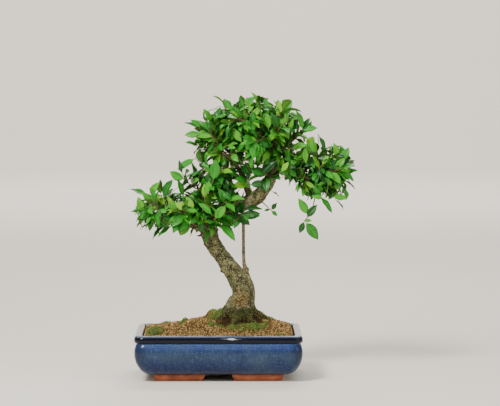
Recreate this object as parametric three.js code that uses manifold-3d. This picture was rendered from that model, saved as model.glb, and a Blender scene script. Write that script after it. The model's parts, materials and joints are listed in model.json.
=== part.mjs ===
// A small fig tree trained as a bonsai, in a glazed rectangular pot on bare clay feet.
// Millimetres, +Z up, the long side of the pot facing -Y. Z = 0 is what the feet stand on.
// Everything is laid out about the middle of the pot, and the finished group is moved at the end so that
// X = Y = 0 is the middle of the whole object's outline, which leans to the right of the pot.
import * as THREE from "three";
import { LoftGeometry } from "three/addons/geometries/LoftGeometry.js";
import { mergeVertices } from "three/addons/utils/BufferGeometryUtils.js";
import Module from "manifold-3d";

const wasm = await Module();
wasm.setup();

// ---- driving sizes -------------------------------------------------------------------------------
const gap = 0.35; // left between pieces that touch

const pot = {
  halfWidth: 130, // at the lip, outside
  halfDepth: 100,
  cornerRadius: 14,
  cornerSteps: 3,
  rim: 72, // top of the lip
  underside: 9.5,
  floor: 17,
};
// Rings of the pot's outside from under its floor to the top of the lip, and of its hollow from the floor
// up: how far each ring lies inside the lip's outline, and its height.
const outside = [
  [30, pot.underside],
  [20, 11.4],
  [12, 16],
  [6, 24],
  [2, 33],
  [0.3, 44],
  [1.2, 53],
  [4, 60],
  [1.4, 61.4],
  [0, 65.5],
  [1, 69.8],
  [3.6, pot.rim],
];
const hollow = [
  [30, pot.floor],
  [17, 22],
  [10.5, 36],
  [10.5, 48],
  [13.4, 60],
  [13.2, 70.4],
  [11.4, pot.rim],
];
const buriedWall = 5; // rings of the hollow that the soil lies against

const foot = {
  halfWidth: 101.5,
  halfDepth: 71.5,
  taper: 3, // how much narrower the feet are where they stand
  thickness: 14,
  sunk: 2, // how far their clay runs up into the pot's floor
  gapHalfWidth: 20, // of the opening between two feet, at its top
  gapFlare: 5, // how much wider that opening is at the bottom
};
const drain = { x: 55, radius: 10, sides: 12 };
const screen = { size: 32, thickness: 1.6, mesh: 3, bar: 2.4 };

const trunkFoot = { x: 33, y: 4 }; // where the trunk stands in the pot
const soil = {
  edge: 67.4, // height against the pot's wall
  rise: 30, // how much higher the mound is at the trunk
  left: 120, // how far the mound spreads to each side
  right: 80,
  front: 42,
  back: 95,
  hummock: 1, // height of its low hummocks
  hummockPitch: 9, // they rise and fall once in 2 pi of these
  along: 12, // points along a long side and along a short side
  across: 9,
  rings: [1, 0.89, 0.78, 0.67, 0.56, 0.45, 0.34, 0.2],
};
// Moss cushions on the soil: middle, half width, half depth, height.
const mossPatches = {
  moss_corner: [-99, -30, 13, 20, 5],
  moss_left_of_trunk: [-11, 4, 11, 13, 12],
  moss_before_trunk: [46, -38, 20, 8, 5],
};

// The trunk from its stump in the soil to its tip: x, y, z, radius.
const trunkRoute = [
  [33, 4, 62, 21],
  [33, 3.5, 78, 24],
  [33, 3, 92, 22.5],
  [33.5, 2, 103, 20],
  [35.5, 1, 113, 18.2],
  [37.5, 0, 124, 17],
  [37.5, 0, 135, 16.5],
  [32.5, 1, 147, 15.6],
  [24, 2, 161, 14.8],
  [12.5, 2, 177, 13],
  [1, 1, 193, 12],
  [-8.5, -1, 207, 12.3],
  [-14, -2, 222, 13.6],
  [-14.5, -1, 237, 12.8],
  [-7, 1, 251, 12],
  [8, 3, 262, 11.7],
  [27, 4, 267.5, 11.4],
  [46, 3, 272, 11.5],
  [62, 1, 282, 11.6],
  [74, -1, 297, 10.4],
  [83, -2, 314, 9.4],
  [88, -1, 331, 8.6],
  [88, 1, 349, 7.2],
  [84, 3, 367, 5.8],
  [77, 4, 384, 4.4],
  [68, 4, 400, 3],
];
const trunkSides = 10;
const trunkSteps = 25;

// Roots that spread over the soil: direction in degrees from +X towards +Y, length, radius at the trunk.
const surfaceRoots = [
  [-8, 50, 8],
  [-52, 44, 7],
  [-100, 42, 7.5],
  [-150, 44, 7],
  [172, 46, 7.5],
  [75, 40, 6.5],
];

// The aerial root hangs from the underside of the upper trunk, grows into the side of the lower trunk
// and runs down it to the soil: x, y, z, radius.
const aerialRoot = [
  [37, -3, 268, 3.2],
  [38.5, -4.5, 246, 2.3],
  [38.8, -4.5, 225, 2.1],
  [39, -4.5, 200, 2.1],
  [39.5, -4.5, 180, 2.4],
  [42, -3.5, 167, 3.6],
  [46.5, -2.5, 154, 3.6],
  [52, -2, 140, 3.6],
  [53.5, -2.5, 126, 3.4],
  [53, -4, 112, 3.6],
  [58, -5, 98, 4],
  [66, -7, 84, 3.4],
];

// Limbs that carry the foliage: the points each one runs through, and its radius at both ends.
const limbs = {
  low: { points: [[-12, -1, 224], [-33, -2, 233], [-56, -4, 241], [-80, -5, 249], [-102, -4, 256]], radii: [6.5, 2] },
  lowBack: { points: [[-42, -3, 237], [-58, 16, 245], [-74, 32, 250]], radii: [3.4, 1.6] },
  lowFront: { points: [[-27, -2, 231], [-38, -22, 240], [-52, -38, 246]], radii: [3.4, 1.6] },
  bendFront: { points: [[-6, 0, 248], [4, -19, 254], [9, -34, 262]], radii: [3.6, 1.6] },
  middle: { points: [[-13, 0, 238], [-20, -3, 260], [-28, -5, 282], [-34, -6, 300]], radii: [4.4, 1.6] },
  fork: { points: [[52, 2, 275], [45, 6, 292], [39, 6, 312], [24, 4, 334], [4, 2, 352], [-16, 0, 366]], radii: [6.2, 2] },
  forkFront: { points: [[32, 5, 323], [21, -18, 340], [6, -38, 352]], radii: [3.4, 1.6] },
  forkBack: { points: [[30, 5, 326], [22, 28, 344], [8, 46, 358]], radii: [3.4, 1.6] },
  right: { points: [[87, -1, 328], [106, -4, 336], [128, -6, 338], [150, -6, 334], [172, -4, 328]], radii: [5.2, 1.8] },
  rightFront: { points: [[126, -6, 338], [142, -23, 334], [156, -34, 327]], radii: [3, 1.6] },
  rightBack: { points: [[120, -5, 337], [138, 14, 336], [156, 28, 331]], radii: [3, 1.6] },
  crownFront: { points: [[86, 1, 352], [76, -20, 368], [62, -42, 380]], radii: [4, 1.8] },
  crownBack: { points: [[85, 2, 358], [78, 26, 372], [66, 48, 382]], radii: [4, 1.8] },
  crownRight: { points: [[88, 0, 345], [106, 2, 362], [124, 4, 376]], radii: [4.2, 1.8] },
  crownLeft: { points: [[80, 4, 377], [58, 2, 392], [34, 0, 402]], radii: [3.6, 1.8] },
  stub: { points: [[-14, -2, 221], [-25, -4, 221], [-34, -6, 220]], radii: [4, 1.2] },
};
const sidesOf = (radius) => (radius > 4.1 ? 6 : 4); // of a limb's section

// Foliage pads: the tips of their leafy stems lie on an ellipsoid, spread by the golden angle from its top
// down to a height of -low times its half height.
const pads = [
  {
    name: "low_pad",
    centre: [-48, -6, 259],
    reach: [73, 46, 27],
    stems: 12,
    low: 0.45,
    phase: 0.4,
    limbs: ["low", "lowBack", "lowFront", "bendFront"],
  },
  {
    name: "middle",
    centre: [-6, -6, 312],
    reach: [52, 33, 22],
    stems: 7,
    low: 0.6,
    phase: 2.6,
    limbs: ["middle", "fork"],
  },
  {
    name: "crown",
    centre: [50, 0, 378],
    reach: [82, 62, 48],
    stems: 16,
    low: 0.45,
    phase: 1.1,
    limbs: ["fork", "forkFront", "forkBack", "crownFront", "crownBack", "crownRight", "crownLeft"],
  },
  {
    name: "right_pad",
    centre: [162, -3, 325],
    reach: [43, 38, 31],
    stems: 8,
    low: 0.75,
    phase: 2.0,
    limbs: ["right", "rightFront", "rightBack"],
  },
];
// Stems that stand apart from the pads: root in the wood, bend, tip, and either how many leaves the rule
// gives them or the leaves themselves: share of the stem, direction and length.
const loneStems = [
  { name: "front_stem_1", root: [24, 2, 267], bend: [26, -16, 254], tip: [36, -34, 254], leaves: 6 },
  { name: "front_stem_2", root: [84, -2, 320], bend: [80, -20, 312], tip: [72, -36, 318], leaves: 6 },
  { name: "front_stem_3", root: [-4, 1, 252], bend: [0, -20, 268], tip: [14, -36, 276], leaves: 7 },
  {
    name: "little_shoot",
    root: [60, 0, 280],
    bend: [74, -8, 268],
    tip: [82, -10, 260],
    blades: [
      [0.9, [-8, -4, -1], 10],
      [1, [9, -3, 13], 15],
      [1, [10, -4, -8], 13],
    ],
  },
  {
    name: "hanging_stem",
    root: [148, -6, 335],
    bend: [159, -12, 268],
    tip: [134, -12, 244],
    blades: [
      [0.86, [-14, -6, 27], 32],
      [0.94, [16, -5, 23], 28],
      [1, [10, -5, 1], 12],
      [1, [-7, -3, -17], 21],
      [1, [24, -1, -30], 38],
    ],
  },
];

const leaf = {
  shortest: 25,
  longest: 34,
  width: 0.5, // of its length, at the widest
  thickness: [0.4, 0.6], // above and below the middle surface
  droop: 0.7, // radians from root to tip
  perStem: 8,
  clear: 2.8, // kept between two leaves
  tries: 13,
};
// Along a leaf: share of its length, and half width there as a share of the widest.
const leafOutline = [
  [0, 0.06],
  [0.46, 1],
  [0.77, 0.74],
];
const stemRadius = { root: 1.6, tip: 1.2 };
const woodClear = 1.6; // kept between a leaf and wood
const goldenAngle = Math.PI * (3 - Math.sqrt(5));
const seed = 7;

const colours = {
  glaze: { color: 0x2b4a80, roughness: 0.18, metalness: 0 },
  clayGranules: { color: 0xa88355, roughness: 0.95, metalness: 0 },
  bark: { color: 0x76664a, roughness: 0.9, metalness: 0 },
  foliage: { color: 0x3c8a2a, roughness: 0.4, metalness: 0 },
  moss: { color: 0x6d8f2e, roughness: 1, metalness: 0 },
  plasticMesh: { color: 0x2e2e2c, roughness: 0.7, metalness: 0 },
};

// ---- solids --------------------------------------------------------------------------------------
const vec = (x, y, z) => new THREE.Vector3(x, y, z);
const up = vec(0, 0, 1);

// A closed geometry as a manifold-3d solid, with shared vertices merged and collapsed faces dropped.
function solidOf(geometry) {
  const bare = new THREE.BufferGeometry().setAttribute("position", geometry.getAttribute("position"));
  bare.setIndex(geometry.index);
  const merged = mergeVertices(bare, 1e-4);
  const corners = merged.index.array;
  const kept = [];
  for (let i = 0; i < corners.length; i += 3) {
    const [a, b, c] = corners.slice(i, i + 3);
    if (a !== b && b !== c && c !== a) kept.push(a, b, c);
  }
  const mesh = new wasm.Mesh({
    numProp: 3,
    vertProperties: merged.attributes.position.array,
    triVerts: new Uint32Array(kept),
  });
  return new wasm.Manifold(mesh);
}

function geometryOf(solid) {
  const mesh = solid.getMesh();
  const geometry = new THREE.BufferGeometry();
  geometry.setAttribute("position", new THREE.BufferAttribute(mesh.vertProperties, mesh.numProp));
  geometry.setIndex(new THREE.BufferAttribute(mesh.triVerts, 1));
  return geometry;
}

const capped = { capStart: true, capEnd: true };
const loft = (sections, options = capped) => solidOf(new LoftGeometry(sections, options));

// A round wooden limb along a curve, swollen and lengthened by a little where something has to clear it.
function limbSolid(curve, radiusAt, sides, steps, swell = 0) {
  const frames = curve.computeFrenetFrames(steps, false);
  const sections = [];
  for (let k = 0; k <= steps; k++) {
    const centre = curve.getPointAt(k / steps);
    if (k === 0) centre.addScaledVector(frames.tangents[k], -swell);
    if (k === steps) centre.addScaledVector(frames.tangents[k], swell);
    const radius = radiusAt(k / steps) + swell;
    const ring = [];
    for (let i = 0; i < sides; i++) {
      const turn = (i / sides) * Math.PI * 2;
      ring.push(
        centre
          .clone()
          .addScaledVector(frames.normals[k], Math.cos(turn) * radius)
          .addScaledVector(frames.binormals[k], Math.sin(turn) * radius),
      );
    }
    sections.push(ring);
  }
  return loft(sections);
}

const curveThrough = (points) =>
  new THREE.CatmullRomCurve3(
    points.map((p) => vec(p[0], p[1], p[2])),
    false,
    "catmullrom",
    0.5,
  );

// Radius at parameter t of a route whose points carry their radius as the fourth number.
function routeRadius(route, t) {
  const place = t * (route.length - 1);
  const k = Math.min(Math.floor(place), route.length - 2);
  return THREE.MathUtils.lerp(route[k][3], route[k + 1][3], place - k);
}

// A limb along a route with radii: the radius is looked up where the evenly spaced ring really lies.
function routeSolid(route, sides, steps, swell = 0) {
  const curve = curveThrough(route);
  return limbSolid(curve, (u) => routeRadius(route, curve.getUtoTmapping(u)), sides, steps, swell);
}

// ---- pot -----------------------------------------------------------------------------------------
// A rounded rectangle, counter-clockwise from above, with extra points along its straight sides.
function rectangleRing(inset, z, along = 1, across = 1) {
  const halfWidth = pot.halfWidth - inset;
  const halfDepth = pot.halfDepth - inset;
  const radius = pot.cornerRadius - inset * 0.2;
  const corners = [
    [1, -1, across],
    [1, 1, along],
    [-1, 1, across],
    [-1, -1, along],
  ];
  const arcs = corners.map(([sx, sy], quarter) => {
    const arc = [];
    for (let i = 0; i <= pot.cornerSteps; i++) {
      const turn = (quarter - 1 + i / pot.cornerSteps) * (Math.PI / 2);
      const x = sx * (halfWidth - radius) + Math.cos(turn) * radius;
      const y = sy * (halfDepth - radius) + Math.sin(turn) * radius;
      arc.push(vec(x, y, z));
    }
    return arc;
  });
  return arcs.flatMap((arc, quarter) => {
    const from = arc.at(-1);
    const to = arcs[(quarter + 1) % arcs.length][0];
    const parts = corners[quarter][2];
    const straight = [];
    for (let i = 1; i < parts; i++) straight.push(from.clone().lerp(to, i / parts));
    return [...arc, ...straight];
  });
}

// A prism with a trapezium section, standing on its wide side, along X or along Y.
function channel(topHalfWidth, length, alongX) {
  const bottom = topHalfWidth + foot.gapFlare;
  const drop = 1;
  const shape = new THREE.Shape([
    new THREE.Vector2(-bottom, -drop),
    new THREE.Vector2(bottom, -drop),
    new THREE.Vector2(topHalfWidth, pot.underside),
    new THREE.Vector2(-topHalfWidth, pot.underside),
  ]);
  const prism = new THREE.ExtrudeGeometry(shape, { depth: length, bevelEnabled: false });
  prism.translate(0, 0, -length / 2);
  prism.rotateX(Math.PI / 2);
  if (alongX) prism.rotateZ(Math.PI / 2);
  return solidOf(prism);
}

function feetSolid() {
  const inset = pot.halfWidth - foot.halfWidth;
  const top = pot.underside + foot.sunk;
  const rings = [
    [inset + foot.thickness, top],
    [inset + foot.thickness, 0],
    [inset + foot.taper, 0],
    [inset, top],
    [inset + foot.thickness, top],
  ].map(([ringInset, z]) => rectangleRing(ringInset, z));
  const band = loft(rings, { capStart: false, capEnd: false });
  return band
    .subtract(channel(foot.gapHalfWidth, 3 * pot.halfDepth, false))
    .subtract(channel(foot.gapHalfWidth * 0.9, 3 * pot.halfWidth, true));
}

function drainHole(x) {
  const height = 4 * pot.floor;
  const hole = new THREE.CylinderGeometry(drain.radius, drain.radius, height, drain.sides);
  hole.rotateX(Math.PI / 2);
  hole.translate(x, 0, 0);
  return solidOf(hole);
}

function potSolid() {
  const full = loft(outside.map(([inset, z]) => rectangleRing(inset, z)));
  const mouth = [hollow.at(-1)[0], pot.rim + 5];
  const empty = loft([...hollow, mouth].map(([inset, z]) => rectangleRing(inset, z)));
  return full.add(feetSolid()).subtract(empty).subtract(drainHole(-drain.x)).subtract(drainHole(drain.x));
}

function boxSolid([width, depth, height], [x, y, z]) {
  return solidOf(new THREE.BoxGeometry(width, depth, height).translate(x, y, z));
}

// The room a screen takes up on the pot's floor, grown by a little where the soil has to clear it.
function screenBlank(x, grow = 0) {
  const across = screen.size + 2 * grow;
  const height = screen.thickness + grow;
  return boxSolid([across, across, height], [x, 0, pot.floor + gap + height / 2]);
}

// A square of stiff mesh that keeps the soil from running out of a drain hole.
function screenSolid(x) {
  const pitch = (screen.size - screen.bar) / screen.mesh;
  const hole = [pitch - screen.bar, pitch - screen.bar, 5 * screen.thickness];
  const holes = [];
  for (let i = 0; i < screen.mesh; i++)
    for (let j = 0; j < screen.mesh; j++) {
      const across = (i - (screen.mesh - 1) / 2) * pitch;
      const along = (j - (screen.mesh - 1) / 2) * pitch;
      holes.push(boxSolid(hole, [x + across, along, pot.floor]));
    }
  return screenBlank(x).subtract(wasm.Manifold.union(holes));
}

// ---- soil ----------------------------------------------------------------------------------------
function soilHeight(x, y) {
  const side = (x - trunkFoot.x) / (x < trunkFoot.x ? soil.left : soil.right);
  const deep = (y - trunkFoot.y) / (y < trunkFoot.y ? soil.front : soil.back);
  const hummocks = Math.sin(x / soil.hummockPitch) * Math.cos(y / soil.hummockPitch + 1);
  return soil.edge + soil.rise * Math.exp(-side * side - deep * deep) + soil.hummock * hummocks;
}

function soilSolid() {
  const wall = hollow
    .slice(0, buriedWall)
    .map(([inset, z]) => rectangleRing(inset + gap, z + gap, soil.along, soil.across));
  const edge = wall.at(-1);
  const centre = vec(trunkFoot.x, trunkFoot.y, 0);
  const top = soil.rings.map((share) =>
    edge.map((p) => {
      const at = centre.clone().lerp(p, share);
      return at.setZ(soilHeight(at.x, at.y));
    }),
  );
  return loft([...wall, ...top])
    .subtract(wasm.Manifold.union(trunkAndRoots(1.3 * gap)))
    .subtract(screenBlank(-drain.x, gap))
    .subtract(screenBlank(drain.x, gap));
}

// A cushion of moss lying on the soil, cut to the soil and to the wood beside it.
function mossSolid([x, y, halfWidth, halfDepth, height], ground) {
  const cushion = new THREE.SphereGeometry(1, 9, 5);
  cushion.rotateX(Math.PI / 2);
  cushion.scale(halfWidth, halfDepth, height);
  cushion.translate(x, y, soilHeight(x, y) - 1);
  const around = wasm.Manifold.union([ground, ground.translate(0, 0, gap), ...trunkAndRoots(1.3 * gap)]);
  const bodies = solidOf(cushion).subtract(around).decompose();
  return bodies.sort((a, b) => b.volume() - a.volume())[0];
}

// ---- wood ----------------------------------------------------------------------------------------
// A surface root leaves the flare of the trunk, runs out over the soil and dives into it.
function surfaceRootRoute([degrees, reach, radius]) {
  const turn = THREE.MathUtils.degToRad(degrees);
  const at = (distance, lift) => {
    const x = trunkFoot.x + Math.cos(turn) * distance;
    const y = trunkFoot.y + Math.sin(turn) * distance;
    return [x, y, soilHeight(x, y) + lift];
  };
  return [
    [...at(7, 22), radius * 1.25],
    [...at(20, 6), radius],
    [...at(reach * 0.7, -1), radius * 0.72],
    [...at(reach, -5), radius * 0.4],
  ];
}

// Trunk, surface roots and aerial root, swollen by a little for the hole that they take up in the soil.
function trunkAndRoots(swell = 0) {
  return [
    routeSolid(trunkRoute, trunkSides, trunkSteps, swell),
    routeSolid(aerialRoot, 6, 14, swell),
    ...surfaceRoots.map((root) => routeSolid(surfaceRootRoute(root), 5, 4, swell)),
  ];
}

function treeSolid() {
  const parts = trunkAndRoots();
  for (const { points, radii } of Object.values(limbs)) {
    const radiusAt = (u) => THREE.MathUtils.lerp(...radii, u);
    parts.push(limbSolid(curveThrough(points), radiusAt, sidesOf(radii[0]), points.length));
  }
  return wasm.Manifold.union(parts);
}

// ---- where the leafy stems and their leaves go ---------------------------------------------------
// Park and Miller's generator, so that the same seed always grows the same tree.
function seededDraws(start) {
  let state = start;
  return () => {
    state = (state * 16807) % 2147483647;
    return state / 2147483647;
  };
}
const draw = seededDraws(seed);
const spread = () => draw() * 2 - 1;

// Places that are taken: wood and leaves, each as points with the distance to keep from them.
const cell = 10;
const taken = new Map();
function take(at, reach, stem, nearRoot) {
  const key = [at.x, at.y, at.z].map((value) => Math.floor(value / cell)).join();
  if (!taken.has(key)) taken.set(key, []);
  taken.get(key).push({ at, reach, stem, nearRoot });
}
// The trunk reaches further than one cell, so its points are kept in a list of their own.
const trunkCurve = curveThrough(trunkRoute);
const trunkPoints = Array.from({ length: 201 }, (_, i) => ({
  at: trunkCurve.getPoint(i / 200),
  radius: routeRadius(trunkRoute, i / 200),
}));

function isClear(at, stem, nearRoot) {
  if (trunkPoints.some((p) => at.distanceTo(p.at) < p.radius + woodClear)) return false;
  const [x, y, z] = [at.x, at.y, at.z].map((value) => Math.floor(value / cell));
  for (let i = x - 1; i <= x + 1; i++)
    for (let j = y - 1; j <= y + 1; j++)
      for (let k = z - 1; k <= z + 1; k++)
        for (const other of taken.get([i, j, k].join()) ?? []) {
          if (other.stem === stem && (nearRoot || other.nearRoot)) continue;
          if (at.distanceTo(other.at) < other.reach) return false;
        }
  return true;
}

// A leafy stem is a quadratic curve from its root on a limb through a bend to its tip.
const stemPoint = ({ root, bend, tip }, t) =>
  root
    .clone()
    .multiplyScalar((1 - t) * (1 - t))
    .addScaledVector(bend, 2 * t * (1 - t))
    .addScaledVector(tip, t * t);
const stemDirection = ({ root, bend, tip }, t) =>
  bend
    .clone()
    .sub(root)
    .multiplyScalar(1 - t)
    .addScaledVector(tip.clone().sub(bend), t)
    .normalize();

// A stem's wood runs straight between a few points of its curve; leaves are rooted on that line.
const axisSteps = (stem) => Math.max(3, Math.round(stem.root.distanceTo(stem.tip) / 12));
function axisPoint(stem, t) {
  const steps = axisSteps(stem);
  const place = ((t - stem.start) / (1 - stem.start)) * steps;
  const k = Math.min(Math.floor(place), steps - 1);
  const at = (i) => stemPoint(stem, THREE.MathUtils.lerp(stem.start, 1, i / steps));
  return at(k).lerp(at(k + 1), place - k);
}

const limbSamples = 24;
const limbPoints = Object.entries(limbs).flatMap(([name, { points, radii }]) => {
  const curve = curveThrough(points);
  const samples = [];
  for (let i = 0; i <= limbSamples; i++) {
    const t = i / limbSamples;
    samples.push({ limb: name, t, at: curve.getPoint(t), radius: THREE.MathUtils.lerp(...radii, t) });
  }
  return samples;
});

// The point of the named limbs that lies nearest to where a stem should start, far enough from its tip and
// from the roots of other stems.
const stemSpacing = 4.5;
const shortestStem = 28;
const rootsTaken = [];
function nearestOnLimbs(names, target, tip) {
  const choices = limbPoints.filter(
    (p) =>
      names.includes(p.limb) &&
      p.t > 0.2 &&
      p.at.distanceTo(tip) > shortestStem &&
      rootsTaken.every((at) => at.distanceTo(p.at) > stemSpacing),
  );
  return choices.reduce((best, p) => (p.at.distanceTo(target) < best.at.distanceTo(target) ? p : best)).at;
}

// The share of a stem, from its root, after which it is free of all wood.
function stemStart(stem) {
  const wood = [...limbPoints, ...trunkPoints].filter((p) => p.at.distanceTo(stem.root) < 90);
  const touches = (t) => {
    const at = stemPoint(stem, t);
    return wood.some((p) => at.distanceTo(p.at) < p.radius + stemRadius.root * 0.8 + gap);
  };
  let start = 1;
  while (start > 0 && !touches(start - 0.005)) start -= 0.005;
  return start;
}

const stemLength = 46; // from limb to tip, where the limbs allow it
const stemBow = 0.16; // how far a stem sags below the straight line, as a share of its length
const stemTries = 120;

const stemSteps = 20;
const stemPoints = (stem) => Array.from({ length: stemSteps + 1 }, (_, i) => stemPoint(stem, i / stemSteps));

// The points of a stem outside the wood it springs from.
const outerPoints = (stem) => stemPoints(stem).filter((at, i) => i >= stem.start * stemSteps - 1);

// Whether a stem runs clear of the stems before it, and of all wood but what it springs from.
const stemCurves = [];
function isApart(stem) {
  const apart = 2 * stemRadius.root + 2 * gap;
  return outerPoints(stem).every((at) => stemCurves.every((other) => at.distanceTo(other) > apart));
}
function isFree(stem, index) {
  return stemPoints(stem).every((at, i) => i < 5 || isClear(at, index, false));
}

// The stem that ends near a place: it starts from the nearest limb, inward and below. Each attempt strays
// further, until the stem runs clear of wood and of the stems before it.
function stemTo(name, place, limbNames, centre, index) {
  const outward = place.clone().sub(centre).normalize();
  for (let attempt = 0; attempt < stemTries; attempt++) {
    const tip = place.clone().addScaledVector(vec(spread(), spread(), spread()), Math.min(0.7 * attempt, 20));
    const target = tip.clone().addScaledVector(outward, -stemLength * 0.8).addScaledVector(up, -stemLength * 0.35);
    const root = nearestOnLimbs(limbNames, target, tip);
    const length = tip.distanceTo(root);
    const bend = root.clone().lerp(tip, 0.5).addScaledVector(up, -stemBow * length);
    bend.addScaledVector(vec(spread(), spread(), spread()), Math.min(0.1 + 0.006 * attempt, 0.3) * length);
    const stem = { name, root, bend, tip, centre, leaves: leaf.perStem };
    stem.start = stemStart(stem);
    if (stem.start < 0.35 && isApart(stem) && isFree(stem, index)) return stem;
  }
  throw new Error(`no room for ${name}`);
}

function takeStem(stem, index) {
  stem.start = stemStart(stem);
  stemPoints(stem).forEach((at, i) => take(at, stemRadius.root + woodClear, index, i > 3));
  stemCurves.push(...outerPoints(stem));
  rootsTaken.push(stem.root);
}

function growStems() {
  const stems = [];
  for (const { name, root, bend, tip, leaves, blades } of loneStems) {
    const stem = { name, root: vec(...root), bend: vec(...bend), tip: vec(...tip), centre: vec(...root), leaves };
    stem.fixed = blades;
    takeStem(stem, stems.length);
    stems.push(stem);
  }
  for (const pad of pads) {
    const centre = vec(...pad.centre);
    for (let k = 0; k < pad.stems; k++) {
      const height = 1 - ((k + 0.5) / pad.stems) * (1 + pad.low);
      const ring = Math.sqrt(1 - height * height);
      const turn = pad.phase + k * goldenAngle;
      const tip = vec(Math.cos(turn) * ring, Math.sin(turn) * ring, height).multiply(vec(...pad.reach));
      tip.multiplyScalar(1 + 0.1 * spread()).add(centre);
      const stem = stemTo(`${pad.name}_stem_${k + 1}`, tip, pad.limbs, centre, stems.length);
      takeStem(stem, stems.length);
      stems.push(stem);
    }
  }
  return stems;
}

// A point of a leaf's middle surface: s from root to tip, across from one edge (-1) to the other (1).
function leafPoint(blade, s, across, halfWidth, lift = 0) {
  const bent = blade.droop * s;
  const forward = (blade.length * Math.sin(bent)) / blade.droop;
  const down = (blade.length * (1 - Math.cos(bent))) / blade.droop;
  return blade.root
    .clone()
    .addScaledVector(blade.direction, forward)
    .addScaledVector(blade.side, across * halfWidth)
    .addScaledVector(blade.face, lift - down);
}

// Half the width of a leaf at s, straight between the outline's stations.
const leafStations = [...leafOutline, [1, 0]];
function leafHalfWidth(blade, s) {
  const k = Math.max(1, leafStations.findIndex(([at]) => at >= s));
  const [[s0, w0], [s1, w1]] = [leafStations[k - 1], leafStations[k]];
  return THREE.MathUtils.lerp(w0, w1, (s - s0) / (s1 - s0)) * blade.halfWidth;
}

const nearRootShare = 0.3;
function leafTestPoints(blade) {
  const points = [];
  for (let i = 1; i <= 10; i++)
    for (let j = -2; j <= 2; j++) {
      const s = i / 10;
      const at = leafPoint(blade, s, j / 2, leafHalfWidth(blade, s));
      points.push({ at, nearRoot: s < nearRootShare });
    }
  return points;
}

// A unit vector square to a direction, level where it can be.
function levelSide(direction) {
  const reference = Math.abs(direction.z) < 0.95 ? up : vec(1, 0, 0);
  return direction.clone().cross(reference).normalize();
}

// A leaf's blade from its root: its upper face looks as nearly towards the sky side as its direction allows.
function bladeFrom(root, direction, sky, length, droop) {
  const face = sky.clone().addScaledVector(direction, -sky.dot(direction)).normalize();
  const side = direction.clone().cross(face);
  return { root, direction, face, side, length, halfWidth: (length * leaf.width) / 2, droop };
}

// The k-th leaf of a stem turns on by the golden angle, and swings aside until it is clear of everything.
function placeLeaf(stem, stemIndex, k, count) {
  const last = k === count - 1;
  const t = last ? 1 : THREE.MathUtils.lerp(Math.max(0.3, stem.start + 0.08), 0.97, k / (count - 1));
  const heading = stemDirection(stem, t);
  const root = axisPoint(stem, t);
  const side = levelSide(heading);
  const other = heading.clone().cross(side);
  const length = THREE.MathUtils.lerp(leaf.shortest, leaf.longest, draw()) * (last ? 0.9 : 1);
  const droop = leaf.droop * (0.6 + 0.8 * draw());
  const tilt = vec(spread(), spread(), spread()).multiplyScalar(0.4);
  const outward = root.clone().sub(stem.centre).normalize();
  const sky = up.clone().multiplyScalar(0.55).addScaledVector(outward, 0.8).add(tilt);
  for (let attempt = 0; attempt < leaf.tries; attempt++) {
    const swing = Math.ceil(attempt / 2) * (attempt % 2 ? 1 : -1) * 0.5;
    const turn = k * goldenAngle + stemIndex + swing;
    const open = last ? 0.15 + 0.12 * attempt : THREE.MathUtils.lerp(1.15, 0.6, t) + 0.12 * (attempt % 3);
    const direction = heading
      .clone()
      .multiplyScalar(Math.cos(open))
      .addScaledVector(side, Math.sin(open) * Math.cos(turn))
      .addScaledVector(other, Math.sin(open) * Math.sin(turn))
      .normalize();
    const blade = bladeFrom(root, direction, sky, length * (attempt > 6 ? 0.85 : 1), droop);
    const points = leafTestPoints(blade);
    if (points.every(({ at, nearRoot }) => isClear(at, stemIndex, nearRoot))) return blade;
  }
  return null;
}

function fixedLeaf(stem, [t, towards, length]) {
  return bladeFrom(axisPoint(stem, t), vec(...towards).normalize(), vec(0, -1, 0.4), length, 0.4);
}

function takeLeaf(blade, stemIndex) {
  for (const { at, nearRoot } of leafTestPoints(blade)) take(at, leaf.clear, stemIndex, nearRoot);
}

// Grows all stems and their leaves among the wood.
function growFoliage() {
  const root = curveThrough(aerialRoot);
  for (let i = 0; i <= 120; i++) take(root.getPoint(i / 120), routeRadius(aerialRoot, i / 120) + woodClear, -1, false);
  for (const { at, radius } of limbPoints) take(at, radius + woodClear, -1, false);
  const stems = growStems();
  stems.forEach((stem, index) => {
    stem.blades = stem.fixed?.map((given) => fixedLeaf(stem, given)) ?? [];
    for (const blade of stem.blades) takeLeaf(blade, index);
  });
  stems.forEach((stem, index) => {
    for (let k = 0; k < stem.leaves && !stem.fixed; k++) {
      const blade = placeLeaf(stem, index, k, stem.leaves);
      if (!blade) continue;
      takeLeaf(blade, index);
      stem.blades.push(blade);
    }
  });
  return stems;
}

// ---- leafy stems as solids -----------------------------------------------------------------------
// A blade has a three-cornered section: its two edges, and the midrib below.
function bladeSolid(blade) {
  const [above, below] = leaf.thickness;
  const sections = leafOutline.map(([s, share]) => {
    const halfWidth = share * blade.halfWidth;
    return [
      leafPoint(blade, s, -1, halfWidth, above),
      leafPoint(blade, s, 1, halfWidth, above),
      leafPoint(blade, s, 0, 0, -below),
    ];
  });
  const tip = leafPoint(blade, 1, 0, 0);
  return loft([...sections, [tip, tip, tip]], { capStart: true, capEnd: false });
}

function stemSolid(stem) {
  const steps = axisSteps(stem);
  const sides = 3;
  const sections = [];
  for (let k = 0; k <= steps; k++) {
    const t = THREE.MathUtils.lerp(stem.start, 1, k / steps);
    const centre = stemPoint(stem, t);
    const heading = stemDirection(stem, t);
    const side = levelSide(heading);
    const other = heading.clone().cross(side);
    const radius = THREE.MathUtils.lerp(stemRadius.root, stemRadius.tip, t);
    const ring = [];
    for (let i = 0; i < sides; i++) {
      const turn = (i / sides) * Math.PI * 2;
      ring.push(
        centre
          .clone()
          .addScaledVector(side, Math.cos(turn) * radius)
          .addScaledVector(other, Math.sin(turn) * radius),
      );
    }
    sections.push(ring);
  }
  return wasm.Manifold.union([loft(sections), ...stem.blades.map(bladeSolid)]).simplify(0.2);
}

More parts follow.
